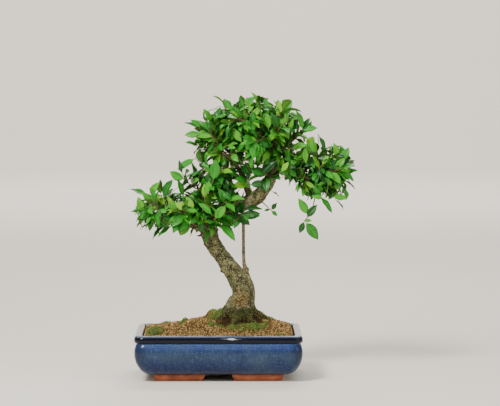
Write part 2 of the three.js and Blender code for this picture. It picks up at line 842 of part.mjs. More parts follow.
// ---- the object ----------------------------------------------------------------------------------
const bonsai = new THREE.Group();
bonsai.name = "bonsai";

function addPiece(name, solid, finish) {
  const mesh = new THREE.Mesh(geometryOf(solid), new THREE.MeshStandardMaterial(finish));
  mesh.name = name;
  bonsai.add(mesh);
}

const ground = soilSolid();
addPiece("pot", potSolid(), colours.glaze);
addPiece("drain_screen_left", screenSolid(-drain.x), colours.plasticMesh);
addPiece("drain_screen_right", screenSolid(drain.x), colours.plasticMesh);
addPiece("soil", ground, colours.clayGranules);
for (const [name, patch] of Object.entries(mossPatches)) addPiece(name, mossSolid(patch, ground), colours.moss);
addPiece("trunk", treeSolid(), colours.bark);
for (const stem of growFoliage()) addPiece(stem.name, stemSolid(stem), colours.foliage);

const outline = new THREE.Box3().setFromObject(bonsai);
const middle = outline.getCenter(vec(0, 0, 0));
bonsai.position.set(-middle.x, -middle.y, 0);

export default bonsai;
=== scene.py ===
import json
import math
from itertools import product

import bpy
import numpy as np
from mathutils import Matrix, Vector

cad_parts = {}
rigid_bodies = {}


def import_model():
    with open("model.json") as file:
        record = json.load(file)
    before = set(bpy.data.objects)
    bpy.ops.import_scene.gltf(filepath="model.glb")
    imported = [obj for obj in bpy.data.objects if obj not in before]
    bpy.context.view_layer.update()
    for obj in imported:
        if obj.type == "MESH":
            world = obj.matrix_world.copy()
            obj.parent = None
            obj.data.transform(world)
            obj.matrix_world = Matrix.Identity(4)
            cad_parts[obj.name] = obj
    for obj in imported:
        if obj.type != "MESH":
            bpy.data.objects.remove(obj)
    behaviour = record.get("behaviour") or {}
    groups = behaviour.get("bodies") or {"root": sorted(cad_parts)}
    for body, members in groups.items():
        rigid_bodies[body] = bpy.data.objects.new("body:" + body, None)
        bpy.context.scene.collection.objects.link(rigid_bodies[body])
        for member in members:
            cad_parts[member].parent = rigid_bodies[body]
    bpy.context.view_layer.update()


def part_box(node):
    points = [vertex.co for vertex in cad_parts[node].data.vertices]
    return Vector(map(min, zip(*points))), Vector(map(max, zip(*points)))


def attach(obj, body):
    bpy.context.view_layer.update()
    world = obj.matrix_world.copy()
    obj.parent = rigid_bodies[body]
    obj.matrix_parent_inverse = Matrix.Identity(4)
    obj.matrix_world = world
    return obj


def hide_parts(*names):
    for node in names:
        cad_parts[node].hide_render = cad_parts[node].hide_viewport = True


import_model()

# A small fig grown as a bonsai, in a glazed pot. Shapes are worked out in millimetres about the middle of
# the pot, as the CAD model's are, and are moved into the frame when they become meshes.
lowest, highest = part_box("pot")
potMiddle = np.array([(lowest.x + highest.x) / 2, (lowest.y + highest.y) / 2, 0])


def linear(hexColor):
    # sRGB hex to the linear colour that Blender's sockets take
    channels = [int(hexColor[i : i + 2], 16) / 255 for i in (1, 3, 5)]
    return [c / 12.92 if c <= 0.04045 else ((c + 0.055) / 1.055) ** 2.4 for c in channels] + [1]


def addNode(tree, kind, settings=None, output=0):
    # adds one node and gives back one of its outputs; settings name its properties and inputs, each with
    # its value or with the output that feeds it
    node = tree.nodes.new("ShaderNode" + kind)
    for key, value in (settings or {}).items():
        if key == "ramp":
            # a new ramp has its first and last stop already
            stops = node.color_ramp.elements
            for i, (place, hexColor) in enumerate([value[0], value[-1], *value[1:-1]]):
                stop = stops[i] if i < 2 else stops.new(place)
                stop.position = place
                stop.color = linear(hexColor)
        elif isinstance(value, bpy.types.NodeSocket):
            tree.links.new(value, node.inputs[key])
        elif isinstance(key, int) or key in node.inputs:
            node.inputs[key].default_value = value
        else:
            setattr(node, key, value)
    return node.outputs[output]


def startMaterial(name, settings):
    # a material with one Principled shader, and the object coordinates that its patterns read
    material = bpy.data.materials.new(name)
    material.use_nodes = True
    tree = material.node_tree
    for key, value in settings.items():
        tree.nodes["Principled BSDF"].inputs[key].default_value = value
    return material, tree, addNode(tree, "TexCoord", output="Object")


def toneColour(tree, ramp):
    # the colour that a point's own tone, from 0 to 1, picks from a ramp
    tone = addNode(tree, "Attribute", {"attribute_name": "tone"}, "Fac")
    return addNode(tree, "ValToRGB", {"ramp": ramp, "Fac": tone})


def layOver(tree, below, pattern, colour, fade, where=None, blend="MIX"):
    # one colour over another: none of it where the pattern has the first value of the fade, and the share
    # that the third value gives where it has the second
    start, end, most = fade
    spread = {"From Min": start, "From Max": end, "To Min": 0, "To Max": most, "Value": pattern}
    amount = addNode(tree, "MapRange", spread)
    if where:
        amount = addNode(tree, "Math", {"operation": "MULTIPLY", 0: amount, 1: where})
    colour = linear(colour) if isinstance(colour, str) else colour
    layers = {"data_type": "RGBA", "blend_type": blend, 0: amount, 6: below, 7: colour}
    return addNode(tree, "Mix", layers, 2)


def finishMaterial(material, colour, *reliefs):
    # links the colour and the bumps, one on another: strength (less than 0 where it is pressed in), height
    # in mm and pattern of each
    tree = material.node_tree
    shader = tree.nodes["Principled BSDF"].inputs
    tree.links.new(colour, shader["Base Color"])
    below = {}
    for strength, height, pattern in reliefs:
        bump = {"Strength": abs(strength), "Distance": height / 1000, "invert": strength < 0}
        below = {"Normal": addNode(tree, "Bump", {**bump, "Height": pattern, **below})}
        tree.links.new(below["Normal"], shader["Normal"])
    return material


def inFrame(points):
    # millimetres about the pot to metres in the frame
    return np.asarray(points) / 1000 + potMiddle


def addObject(name, data):
    made = bpy.data.objects.new(name, data)
    bpy.context.scene.collection.objects.link(made)
    return made


def plainMesh(name, points, *faces):
    # a mesh of what is no piece: the floor, and what cuts the drain holes
    mesh = bpy.data.meshes.new(name)
    faces = [corners for some in faces for corners in np.asarray(some).tolist()]
    mesh.from_pydata(inFrame(points).tolist(), [], faces)
    return mesh


def putMesh(
    name, points, quads, triangles, materials, slot, replaced=(),
    finish=None, uv=None, tone=None, smooth=True,
):
    # one finished piece from whole arrays: points in millimetres about the pot, faces as rows of corners
    mesh = bpy.data.meshes.new(name)
    quads = np.asarray(quads, np.int32).reshape(-1, 4)
    triangles = np.asarray(triangles, np.int32).reshape(-1, 3)
    corners = np.concatenate([quads.ravel(), triangles.ravel()])
    starts = np.concatenate([np.arange(len(quads)) * 4, len(quads) * 4 + np.arange(len(triangles)) * 3])
    mesh.vertices.add(len(points))
    mesh.vertices.foreach_set("co", inFrame(points).astype(np.float32).ravel())
    mesh.loops.add(len(corners))
    mesh.loops.foreach_set("vertex_index", corners)
    mesh.polygons.add(len(starts))
    mesh.polygons.foreach_set("loop_start", starts.astype(np.int32))
    mesh.update(calc_edges=True)
    mesh.polygons.foreach_set("use_smooth", np.full(len(starts), smooth))
    for material in materials:
        mesh.materials.append(material)
    if finish is not None:
        mesh.polygons.foreach_set("material_index", np.asarray(finish, np.int32))
    if uv is not None:
        mesh.uv_layers.new(name="along").data.foreach_set("uv", uv[corners].astype(np.float32).ravel())
    if tone is not None:
        mesh.attributes.new("tone", "FLOAT", "POINT").data.foreach_set("value", tone.astype(np.float32))
    mesh.validate()
    piece = addObject(name, mesh)
    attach(piece, "root")
    if replaced:
        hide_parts(*replaced)
    return piece


def ringFaces(count, size):
    # quads between neighbouring rings of a closed section, rings one after another
    ring, corner = np.meshgrid(np.arange(count - 1), np.arange(size), indexing="ij")
    here, over = ring * size + corner, ring * size + (corner + 1) % size
    return np.stack([here, over, over + size, here + size], -1).reshape(-1, 4)


def closedLoft(rings):
    # a closed body: quads along the rings (n, m, 3), and a fan to the middle of both end rings
    count, size = rings.shape[:2]
    points = np.concatenate([rings.reshape(-1, 3), rings[:1].mean(1), rings[-1:].mean(1)])
    first, last = count * size, count * size + 1
    i = np.arange(size)
    over = (i + 1) % size
    end = (count - 1) * size
    caps = np.concatenate(
        [
            np.stack([over, i, np.full(size, first)], -1),
            np.stack([end + i, end + over, np.full(size, last)], -1),
        ]
    )
    return points, ringFaces(count, size), caps


def joinParts(parts):
    # many (points, quads, triangles) as one
    offsets = np.cumsum([0] + [len(p[0]) for p in parts[:-1]])
    return (
        np.concatenate([p[0] for p in parts]),
        np.concatenate([p[1] + o for p, o in zip(parts, offsets)]),
        np.concatenate([p[2] + o for p, o in zip(parts, offsets)]),
    )


def unit(vectors):
    return vectors / np.linalg.norm(vectors, axis=-1, keepdims=True)


def apart(a, b):
    return np.linalg.norm(a - b, axis=-1)


def tubeRings(path, radii, sides):
    # circles of the given radii square to a path, turned from the axis that the path runs along least
    heading = unit(np.gradient(path, axis=0))
    spare = np.eye(3)[np.argmin(np.abs(heading).max(0))]
    side = unit(np.cross(heading, spare))
    other = np.cross(heading, side)
    turn = np.arange(sides) / sides * math.tau
    circle = np.cos(turn)[None, :, None] * side[:, None] + np.sin(turn)[None, :, None] * other[:, None]
    return path[:, None] + circle * np.asarray(radii)[:, None, None]


def valueNoise(points, size, salt=0):
    # smooth relief from -1 to 1: chance heights on a cubic lattice of that size, blended in between
    place = points / size
    base = np.floor(place).astype(np.int64)
    share = place - base
    share = share * share * (3 - 2 * share)
    total = 0
    for corner in product((0, 1), repeat=3):
        key = (base + corner) @ np.array([73856093, 19349663, 83492791]) + salt * 9973
        key = (key ^ (key >> 13)) * 1274126177 & 0x7FFFFFFF
        key = (key ^ (key >> 11)) * 668265263 & 0x7FFFFFFF
        weight = np.where(np.array(corner) == 1, share, 1 - share).prod(-1)
        total = total + weight * ((key >> 8) % 4096) / 4095
    return total * 2 - 1


def curveThrough(points, t):
    # Catmull-Rom spline of even parameter t from 0 to 1: a cubic between neighbouring points, its slope at
    # each half the step between that point's neighbours
    route = np.array(points, float)[:, :3]
    route = np.vstack([route[0] - route[1] + route[0], route, route[-1] - route[-2] + route[-1]])
    place = np.asarray(t) * (len(points) - 1)
    k = np.minimum(np.floor(place).astype(int), len(points) - 2)
    w = (place - k)[..., None]
    a, b, c, d = route[k], route[k + 1], route[k + 2], route[k + 3]
    start, end = 0.5 * (c - a), 0.5 * (d - b)
    return b + start * w + (-3 * b + 3 * c - 2 * start - end) * w**2 + (2 * b - 2 * c + start + end) * w**3


def routeRadius(points, t):
    # the radius that the points carry as their fourth number, straight between them
    return np.interp(np.asarray(t) * (len(points) - 1), np.arange(len(points)), [p[3] for p in points])


def seededDraws(state):
    # Park and Miller's generator, so that the same seed always grows the same tree
    def draw():
        nonlocal state
        state = state * 16807 % 2147483647
        return state / 2147483647

    return draw


view = {
    "place": (17.5, -4114, 526),  # mm about the pot
    "down": 3.545,  # degrees below level
    "right": 0.44,  # degrees to the right of the pot's depth
    "lens": 189.6,
    "floor": "#f5ede0",
    "floorReach": 6500,  # mm from the pot to where the floor begins to curve up
    "floorCurve": 1500,  # radius of that curve, and height of the wall that it ends in
    "room": "#f6f3ec",
    "roomLight": 0.46,
    # softboxes: place and aim in mm about the pot, width and height in mm, power in watts
    "lights": {
        "keyLight": ((-900, -1600, 1900), (20, 0, 220), (600, 600), 72),
        "fillLight": ((1700, -1300, 1000), (20, 0, 220), (1300, 1300), 8),
        "backLight": ((300, 1500, 1700), (20, 0, 260), (1200, 1200), 16),
        "stripLight": ((22, -2500, 1380), (22, -100, 70), (11, 1500), 5),
        "sparkLight": ((1900, -1500, 900), (100, -60, 60), (110, 420), 2.2),
        "backdropLight": ((0, 4600, 3600), (0, 5400, 0), (5000, 2500), 240),
    },
}


def makeView():
    camera = addObject("camera", bpy.data.cameras.new("camera"))
    camera.location = inFrame(view["place"])
    camera.rotation_euler = (math.radians(90 - view["down"]), 0, -math.radians(view["right"]))
    camera.data.lens = view["lens"]
    camera.data.clip_end = 100
    bpy.context.scene.camera = camera

    for name, (place, aim, size, power) in view["lights"].items():
        lamp = bpy.data.lights.new(name, "AREA")
        lamp.energy = power
        lamp.shape = "RECTANGLE"
        lamp.size, lamp.size_y = np.array(size) / 1000
        light = addObject(name, lamp)
        light.location = inFrame(place)
        x, y, z = np.subtract(aim, place)
        light.rotation_euler = (math.atan2(math.hypot(x, y), -z), 0, math.atan2(-x, y))

    world = bpy.data.worlds.new("room")
    world.use_nodes = True
    background = world.node_tree.nodes["Background"].inputs
    background["Color"].default_value = linear(view["room"])
    background["Strength"].default_value = view["roomLight"]
    bpy.context.scene.world = world

    # matt painted board: no gloss, so that it throws soft light only; a disc about the pot, its edge
    # turned up by a quarter of a circle all round, so that no horizon shows
    paint, _, _ = startMaterial("mattWhiteBoard", {"Roughness": 0.9, "Base Color": linear(view["floor"])})
    rise = np.linspace(0, np.pi / 2, 13)
    reach = np.concatenate([[1], view["floorReach"] + np.sin(rise) * view["floorCurve"]])[:, None]
    height = np.concatenate([[0], (1 - np.cos(rise)) * view["floorCurve"]])[:, None]
    sides = 96
    turn = np.arange(sides) / sides * math.tau
    rings = np.stack([reach * np.cos(turn), reach * np.sin(turn), height + 0 * turn], -1)
    middle = np.arange(4)[None] * sides // 4
    mesh = plainMesh("floor", rings.reshape(-1, 3), ringFaces(len(reach), sides), middle)
    mesh.polygons.foreach_set("use_smooth", np.full(len(mesh.polygons), True))
    mesh.materials.append(paint)
    floor = addObject("floor", mesh)


makeView()
print("camera, lights and floor are in")

pot = {
    "halfWidth": 130,  # at the lip, outside
    "halfDepth": 100,
    "cornerRadius": 14,
    "rim": 72,
    "underside": 9.5,
    "floor": 17,
    # how far each ring lies inside the lip's outline, and its height
    "outside": [(30, 9.5), (20, 11.4), (12, 16), (6, 24), (2, 33), (0.3, 44), (1.2, 53), (3.7, 59.4)],
    "lip": [(3.9, 60.2), (1.6, 61.2), (0.3, 63), (0, 65.3), (0.2, 67.2), (0.8, 69.2), (1.8, 70.8)],
    "lipTop": [(3.2, 71.7), (5, 72), (9.4, 72), (11.2, 71.6), (12.4, 70.4), (13, 68.6)],
    "hollow": [(13.4, 60), (10.5, 48), (10.5, 36), (17, 22), (30, 17)],
    "drainX": 55,
    "drainRadius": 10,
    # the glaze's colours by height, in mm: darker towards the foot as painted shade, greyer over the belly
    # as painted reflection, a bright band on the shoulder as painted highlight, the glaze's own black on
    # the lip, and grey on the lip's top as painted reflection
    "glaze": [
        (10, "#0c1020"),
        (18, "#131f50"),
        (27, "#1e305c"),
        (38, "#2c415a"),
        (47, "#293d5f"),
        (53, "#1b3672"),
        (57.5, "#233f7b"),
        (59.6, "#4268a6"),
        (61, "#060a1a"),
        (69.5, "#080e22"),
        (71.6, "#5f6c86"),
    ],
    # colours laid over it: none where the pattern has the first value, the third's share at the second
    "glazePale": ("#5877a8", (0.5, 0.75, 0.4)),
    "glazeFleck": ("#3c4c78", (0.46, 0.6, 0.8)),
    "glazeThin": ("#3a4f62", (0.42, 0.72, 0.5)),
    # colour of the painted dark reflection round the four corners
    "cornerPaintedReflection": "#0c1430",
    "cornerReflectionSpan": (206, 222),  # mm across and deep together, where the painted dark reflection begins and is full
    "glazeRough": (0.24, 0.035),  # of the body, and of the lip where the glaze lies thin
    "lipFrom": 0.84,  # share of the height where the body ends
    "clay": [(0.3, "#9a5637"), (0.5, "#c06a46"), (0.75, "#d68f6c")],
    "screen": [(0.4, "#1c241c"), (0.7, "#544022")],  # bare, and under soil dust
}
foot = {
    "halfWidth": 101.5,
    "halfDepth": 71.5,
    "taper": 3,
    "thickness": 14,
    "sunk": 2,
    "gapHalfWidth": 20,
    "sideGapShare": 0.9,
    "gapFlare": 5,
    "edge": 0.8,  # rounding of its edges
    "cornerRadius": 8,
}


def rectangleRing(inset, z, arcSteps=10, along=24, across=18):
    # a rectangle with round corners, counter-clockwise from above: a quarter circle at each corner, and
    # even steps along each side
    radius = pot["cornerRadius"] - inset * 0.2
    halfWidth, halfDepth = pot["halfWidth"] - inset - radius, pot["halfDepth"] - inset - radius
    corners = [(1, -1, across), (1, 1, along), (-1, 1, across), (-1, -1, along)]
    arcs = []
    for quarter, (sx, sy, _) in enumerate(corners):
        turn = (quarter - 1 + np.linspace(0, 1, arcSteps + 1)) * np.pi / 2
        arc = np.stack([np.cos(turn), np.sin(turn)], -1) * radius
        arcs.append(arc + [sx * halfWidth, sy * halfDepth])
    ring = []
    for quarter, (_, _, parts) in enumerate(corners):
        share = (np.arange(1, parts) / parts)[:, None]
        start, end = arcs[quarter][-1], arcs[(quarter + 1) % 4][0]
        ring += [arcs[quarter], start + (end - start) * share]
    ring = np.concatenate(ring)
    return np.column_stack([ring, np.full(len(ring), z)])


def smoothProfile(profile, steps):
    # more rings along the spline through a profile's own rings
    fine = curveThrough([(inset, z, 0) for inset, z in profile], np.linspace(0, 1, steps))
    return [(inset, z) for inset, z, _ in fine]


def makeGlaze():
    # cobalt glaze on stoneware: dipped and fired, so it is glassy, runs in fine downward streaks with pale
    # flecks and lies dark on the lip; painted shade darkens it towards the foot, a painted highlight
    # brightens the shoulder, and a painted dark reflection lies round the corners
    material, tree, place = startMaterial("cobaltGlazedStoneware", {"IOR": 1.5, "Specular IOR Level": 0.28})
    height = addNode(tree, "SeparateXYZ", {0: place}, "Z")
    share = addNode(tree, "Math", {"operation": "DIVIDE", 0: height, 1: pot["rim"] / 1000})
    # colours by height: painted shade at the foot, painted reflection over the belly and the lip's top, and
    # a painted highlight on the shoulder
    ramp = [(z / pot["rim"], colour) for z, colour in pot["glaze"]]
    colour = addNode(tree, "ValToRGB", {"ramp": ramp, "Fac": share})
    # roughness, and how far it is the body, which change over between body and lip
    changes = []
    for soft, (onBody, onLip) in ((0.02, pot["glazeRough"]), (0.01, (1, 0))):
        start, end = pot["lipFrom"] - soft, pot["lipFrom"] + soft
        spread = {"From Min": start, "From Max": end, "To Min": onBody, "To Max": onLip, "Value": share}
        changes.append(addNode(tree, "MapRange", spread))
    gloss, bodyOnly = changes
    tree.links.new(gloss, tree.nodes["Principled BSDF"].inputs["Roughness"])
    # streaks 3 mm wide and 8 mm long, flecks 1 mm and clouds 35 mm across
    stretched = addNode(tree, "Mapping", {"Scale": (1, 1, 0.4), "Vector": place})
    patterns = (330, 3, 0.65, stretched), (900, 2, 0.7, place), (28, 3, 0.55, place)
    streaks, flecks, cloud = (
        addNode(tree, "TexNoise", {"Scale": scale, "Detail": detail, "Roughness": rough, "Vector": where})
        for scale, detail, rough, where in patterns
    )
    colour = layOver(tree, colour, streaks, *pot["glazePale"], bodyOnly)
    colour = layOver(tree, colour, flecks, *pot["glazeFleck"], blend="MULTIPLY")
    colour = layOver(tree, colour, cloud, *pot["glazeThin"], bodyOnly)
    # painted dark reflection round the four corners, where the glassy glaze mirrors dark surroundings: by
    # how far a point lies out both ways
    middle = addNode(tree, "Mapping", {"Location": (-potMiddle).tolist(), "Vector": place})
    outwards = addNode(tree, "VectorMath", {"operation": "ABSOLUTE", 0: middle})
    across, deep, _ = addNode(tree, "SeparateXYZ", {0: outwards}).node.outputs
    span = addNode(tree, "Math", {"operation": "ADD", 0: across, 1: deep})
    start, end = pot["cornerReflectionSpan"]
    colour = layOver(tree, colour, span, pot["cornerPaintedReflection"], (start / 1000, end / 1000, 0.7), bodyOnly)
    return finishMaterial(material, colour, (0.12, 0.4, cloud))


def makeClay():
    # bare red stoneware: sanded and unglazed, so it is matt with a fine grit, and darker where handled
    material, tree, place = startMaterial("bareRedStoneware", {"Roughness": 0.7})
    grit = addNode(tree, "TexNoise", {"Scale": 1100, "Detail": 2, "Vector": place})
    blotch = addNode(tree, "TexNoise", {"Scale": 60, "Detail": 3, "Vector": place})
    colour = addNode(tree, "ValToRGB", {"ramp": pot["clay"], "Fac": blotch})
    return finishMaterial(material, colour, (0.3, 0.3, grit))


def makePot():
    # a profile of insets and heights, from the middle of the underside round the lip to the middle of the
    # floor, carried round the pot's rectangle; the drain holes are then cut through
    outside, hollow = smoothProfile(pot["outside"], 30), smoothProfile(pot["hollow"], 18)
    profile = [*outside, *pot["lip"], *pot["lipTop"], *hollow]
    rings = np.stack([rectangleRing(inset, z) for inset, z in profile])
    body = putMesh("pot_body", *closedLoft(rings), [makeGlaze()], "glazed_pot", ["pot"])
    sides = 40
    turn = np.arange(sides) / sides * math.tau
    for side in (-1, 1):
        circle = np.stack([np.cos(turn), np.sin(turn)], -1) * pot["drainRadius"] + [side * pot["drainX"], 0]
        rings = np.stack([np.column_stack([circle, np.full(sides, z)]) for z in (0, 2 * pot["floor"])])
        cutter = addObject("drain_cutter", plainMesh("drain_cutter", *closedLoft(rings)))
        cut = body.modifiers.new("drain", "BOOLEAN")
        cut.operation = "DIFFERENCE"
        cut.solver = "EXACT"
        cut.object = cutter
        applyModifiers(body)
        bpy.data.objects.remove(cutter)


def applyModifiers(piece):
    # the piece's mesh as its modifiers leave it
    finished = bpy.data.meshes.new_from_object(piece.evaluated_get(bpy.context.evaluated_depsgraph_get()))
    piece.modifiers.clear()
    old = piece.data
    piece.data = finished
    bpy.data.meshes.remove(old)


def footRings(sx, sy):
    # one L-shaped foot: a rounded section of insets and heights carried from one gap round the corner to
    # the other, its ends leaning back as the gap widens downwards
    top = pot["underside"] + foot["sunk"]
    inner, outer, edge = foot["thickness"], foot["taper"], foot["edge"]
    section = [
        (inner, top),
        (inner, edge),
        (inner - edge * 0.3, edge * 0.3),
        (inner - edge, 0),
        (outer + edge, 0),
        (outer + edge * 0.3, edge * 0.3),
        (outer - edge * 0.25, edge),
        (0, top),
    ]
    rings = []
    for inset, z in section:
        flare = foot["gapFlare"] * (1 - z / pot["underside"])
        radius = max(foot["cornerRadius"] - inset * 0.4, 2)
        middleX, middleY = foot["halfWidth"] - inset - radius, foot["halfDepth"] - inset - radius
        turn = np.linspace(0, np.pi / 2, 9)
        arc = np.stack([middleX + np.sin(turn) * radius, middleY + np.cos(turn) * radius], -1)
        fromGap = np.linspace(foot["gapHalfWidth"] + flare, middleX, 8)[:-1]
        toGap = np.linspace(middleY, foot["gapHalfWidth"] * foot["sideGapShare"] + flare, 8)[1:]
        front, end = np.full(7, middleY + radius), np.full(7, middleX + radius)
        line = np.concatenate([np.column_stack([fromGap, front]), arc, np.column_stack([end, toGap])])
        rings.append(np.column_stack([line, np.full(len(line), z)]))
    return np.stack(rings, 1) * [sx, sy, 1]


def makeFeet():
    parts = []
    for sx, sy in product((-1, 1), repeat=2):
        rings = footRings(sx, sy)
        parts.append(closedLoft(rings if sx * sy > 0 else rings[:, ::-1]))
    putMesh("pot_feet", *joinParts(parts), [makeClay()], "glazed_pot", ["pot"])


def makeScreenPlastic():
    # moulded polyethylene mesh over the drain holes: dull green-black, a little greasy, with soil dust
    material, tree, place = startMaterial("mouldedScreenPolyethylene", {"Roughness": 0.5})
    dust = addNode(tree, "TexNoise", {"Scale": 500, "Detail": 3, "Vector": place})
    return finishMaterial(material, addNode(tree, "ValToRGB", {"ramp": pot["screen"], "Fac": dust}))


def dressScreens():
    plastic = makeScreenPlastic()
    for name in ("drain_screen_left", "drain_screen_right"):
        for slot in bpy.data.objects[name].material_slots:
            slot.material = plastic


makePot()
makeFeet()
dressScreens()
print("pot is in")

soil = {
    "gap": 0.35,  # to the pot's wall
    "edge": 67.4,  # height against the pot's wall
    "rise": 30,  # of the mound at the trunk
    "left": 120,
    "right": 80,
    "front": 42,
    "back": 95,
    "wall": 13.5,  # how far the pot's inner wall lies inside the lip
    "shoulder": 69.2,  # height of the heap against the wall, at most
    "shoulderSlope": 1.3,
    "hummock": 1,  # height of its low hummocks
    "hummockPitch": 9,  # they rise and fall once in 2 pi of these
    "trunkX": 33,
    "trunkY": 4,
    "bare": 18,  # mm from the trunk's middle within which no granules lie
    "inside": 15.2,  # how far the outermost granules lie inside the lip
    "pitch": 2.2,  # mm between granules
    "size": (0.75, 1.6),  # radius of a granule
    "chipped": 0.22,  # share by which a granule's corners stand in or out
    "squashed": (1, 0.8, 0.65),  # its three radii next to each other
    "uneven": 0.7,  # how far granules lie over or under the surface of the others
    "seed": 11,
    "sunk": 1.4,  # how far the lower granules' middles lie under the surface
    "shade": (36, 47),  # mm from the trunk up to which the granules are damp, and from which all are dry
    "patchy": 0.6,  # how much their edge is broken up, and how wide its patches are
    "patchWidth": 9,
    "dryTone": 0.3,  # of the darkest dry granule, and of the lightest damp one
    "dampTone": 0.2,
    "granules": [(0, "#2c2214"), (0.32, "#544022"), (0.65, "#9d7c48"), (1, "#dcb878")],
    "sprinkled": [(0, "#2c2214"), (0.45, "#544022"), (0.75, "#9d7c48"), (1, "#dcb878")],
    "bed": [(0, "#453218"), (1, "#544022")],
    "humus": [(0, "#211a10"), (0.5, "#524326"), (1, "#8a7d4e")],
    "pores": ("#6a5a4a", (0.6, 0.3, 0.45)),
    "crumbs": 3600,  # of humus round the trunk's foot
    "crumbSize": (0.6, 1.3),
    "crumbReach": 11,  # how high they lie against the wood
}


def soilHeight(x, y):
    # the mound is a bell round the trunk, and low hummocks about 25 mm apart lie on it; towards the pot's
    # wall it falls off steeply to just under the rim
    side = (x - soil["trunkX"]) / np.where(x < soil["trunkX"], soil["left"], soil["right"])
    deep = (y - soil["trunkY"]) / np.where(y < soil["trunkY"], soil["front"], soil["back"])
    hummocks = np.sin(x / soil["hummockPitch"]) * np.cos(y / soil["hummockPitch"] + 1)
    heap = soil["edge"] + soil["rise"] * np.exp(-side * side - deep * deep) + soil["hummock"] * hummocks
    wall = soil["wall"]
    fromWall = np.minimum(pot["halfWidth"] - wall - abs(x), pot["halfDepth"] - wall - abs(y))
    return np.minimum(heap, soil["shoulder"] + soil["shoulderSlope"] * np.maximum(fromWall, 0))


def makeGranuleMaterial(name, ramp):
    # fired clay granules: porous and dusty, so they are fully matt, each of its own brown, tan to umber
    material, tree, place = startMaterial(name, {"Roughness": 0.95, "Specular IOR Level": 0.2})
    # pores 0.6 mm across
    pores = addNode(tree, "TexNoise", {"Scale": 1600, "Detail": 2, "Vector": place})
    colour = layOver(tree, toneColour(tree, ramp), pores, *soil["pores"], blend="MULTIPLY")
    return finishMaterial(material, colour, (0.5, 0.4, pores))


def icosahedron():
    # twelve corners on a unit sphere: the cyclic turns of (0, 1, golden ratio)
    g = (1 + 5**0.5) / 2
    corners = np.array(
        [[-1, g, 0], [1, g, 0], [-1, -g, 0], [1, -g, 0], [0, -1, g], [0, 1, g], [0, -1, -g], [0, 1, -g]]
        + [[g, 0, -1], [g, 0, 1], [-g, 0, -1], [-g, 0, 1]]
    )
    faces = [(0, 11, 5), (0, 5, 1), (0, 1, 7), (0, 7, 10), (0, 10, 11), (1, 5, 9), (5, 11, 4), (11, 10, 2)]
    faces += [(10, 7, 6), (7, 1, 8), (3, 9, 4), (3, 4, 2), (3, 2, 6), (3, 6, 8), (3, 8, 9), (4, 9, 5)]
    faces += [(2, 4, 11), (6, 2, 10), (8, 6, 7), (9, 8, 1)]
    return unit(corners), np.array(faces)


def putGrains(name, places, sizes, tones, chance, material, replaced=()):
    # one chipped, turned icosahedron for each place: corners pushed in or out by a fifth, squashed along
    # its own axes, then turned by a chance quaternion
    corners, faces = icosahedron()
    count = len(places)
    uneven = 1 + soil["chipped"] * chance.uniform(-1, 1, (count, len(corners), 1))
    shape = corners * uneven * soil["squashed"]
    w, x, y, z = unit(chance.normal(size=(count, 4))).T
    turn = np.stack(
        [
            np.stack([1 - 2 * (y * y + z * z), 2 * (x * y - z * w), 2 * (x * z + y * w)], -1),
            np.stack([2 * (x * y + z * w), 1 - 2 * (x * x + z * z), 2 * (y * z - x * w)], -1),
            np.stack([2 * (x * z - y * w), 2 * (y * z + x * w), 1 - 2 * (x * x + y * y)], -1),
        ],
        1,
    )
    points = np.einsum("nij,nkj->nki", turn, shape) * sizes[:, None, None] + places[:, None]
    triangles = faces[None] + (np.arange(count) * len(corners))[:, None, None]
    points, tone = points.reshape(-1, 3), np.repeat(tones, len(corners))
    putMesh(name, points, [], triangles, [material], "soil", replaced, tone=tone, smooth=False)


def makeSoil():
    # bed: the pot's hollow up to the soil's edge, then rings shrinking to the trunk at the mound's height;
    # granules: a jittered grid of them over it, and half as many again on top
    chance = np.random.RandomState(soil["seed"])
    wall = smoothProfile(pot["hollow"][::-1], 14)
    rings = [rectangleRing(inset + soil["gap"], z + soil["gap"]) for inset, z in wall]
    middle = np.array([soil["trunkX"], soil["trunkY"], 0])
    outermost = rings[-1]
    for share in np.linspace(1, 0.02, 40):
        ring = middle + (outermost - middle) * share
        ring[:, 2] = soilHeight(ring[:, 0], ring[:, 1]) - 1.5 * soil["sunk"]
        rings.append(ring)
    points, quads, caps = closedLoft(np.stack(rings))
    bed = makeGranuleMaterial("siftedClayDust", soil["bed"])
    tone = 0.5 + 0.5 * valueNoise(points, 4)
    putMesh("soil_bed", points, quads, caps, [bed], "soil", ["soil"], tone=tone)

    pitch = soil["pitch"]
    reach = np.array([pot["halfWidth"], pot["halfDepth"]]) - soil["inside"]
    x, y = np.meshgrid(*(np.arange(-half, half, pitch) for half in reach))
    flat = np.stack([x.ravel(), y.ravel()], -1)
    extra = flat[chance.uniform(size=len(flat)) < 0.5]
    lift = np.repeat([0, 1], [len(flat), len(extra)])
    flat = np.concatenate([flat, extra])
    flat = np.clip(flat + chance.uniform(-0.5, 0.5, flat.shape) * pitch, -reach, reach)
    uneven = chance.uniform(-soil["uneven"], soil["uneven"], len(flat))
    height = soilHeight(flat[:, 0], flat[:, 1]) + lift + uneven - soil["sunk"]
    places = np.column_stack([flat, height])
    away = np.hypot(places[:, 0] - soil["trunkX"], places[:, 1] - soil["trunkY"])
    outside = away > soil["bare"]
    places, away, lift = places[outside], away[outside], lift[outside]
    sizes = chance.uniform(*soil["size"], len(places))
    damp, dry = soil["shade"]
    patchy = soil["patchy"] * valueNoise(places, soil["patchWidth"], 7)
    dry = np.clip((away - damp) / (dry - damp) + patchy, 0, 1)
    darkest = soil["dryTone"]
    tones = (darkest + (1 - darkest) * chance.uniform(size=len(places))) * dry
    tones = tones + soil["dampTone"] * chance.uniform(size=len(places)) * (1 - dry)
    grains = makeGranuleMaterial("firedClayGranules", soil["granules"])
    for layer, name in enumerate(("soil_granules", "soil_granules_loose")):
        chosen = lift == layer
        putGrains(name, places[chosen], sizes[chosen], tones[chosen], chance, grains, ["soil"])


makeSoil()
print("soil is in")

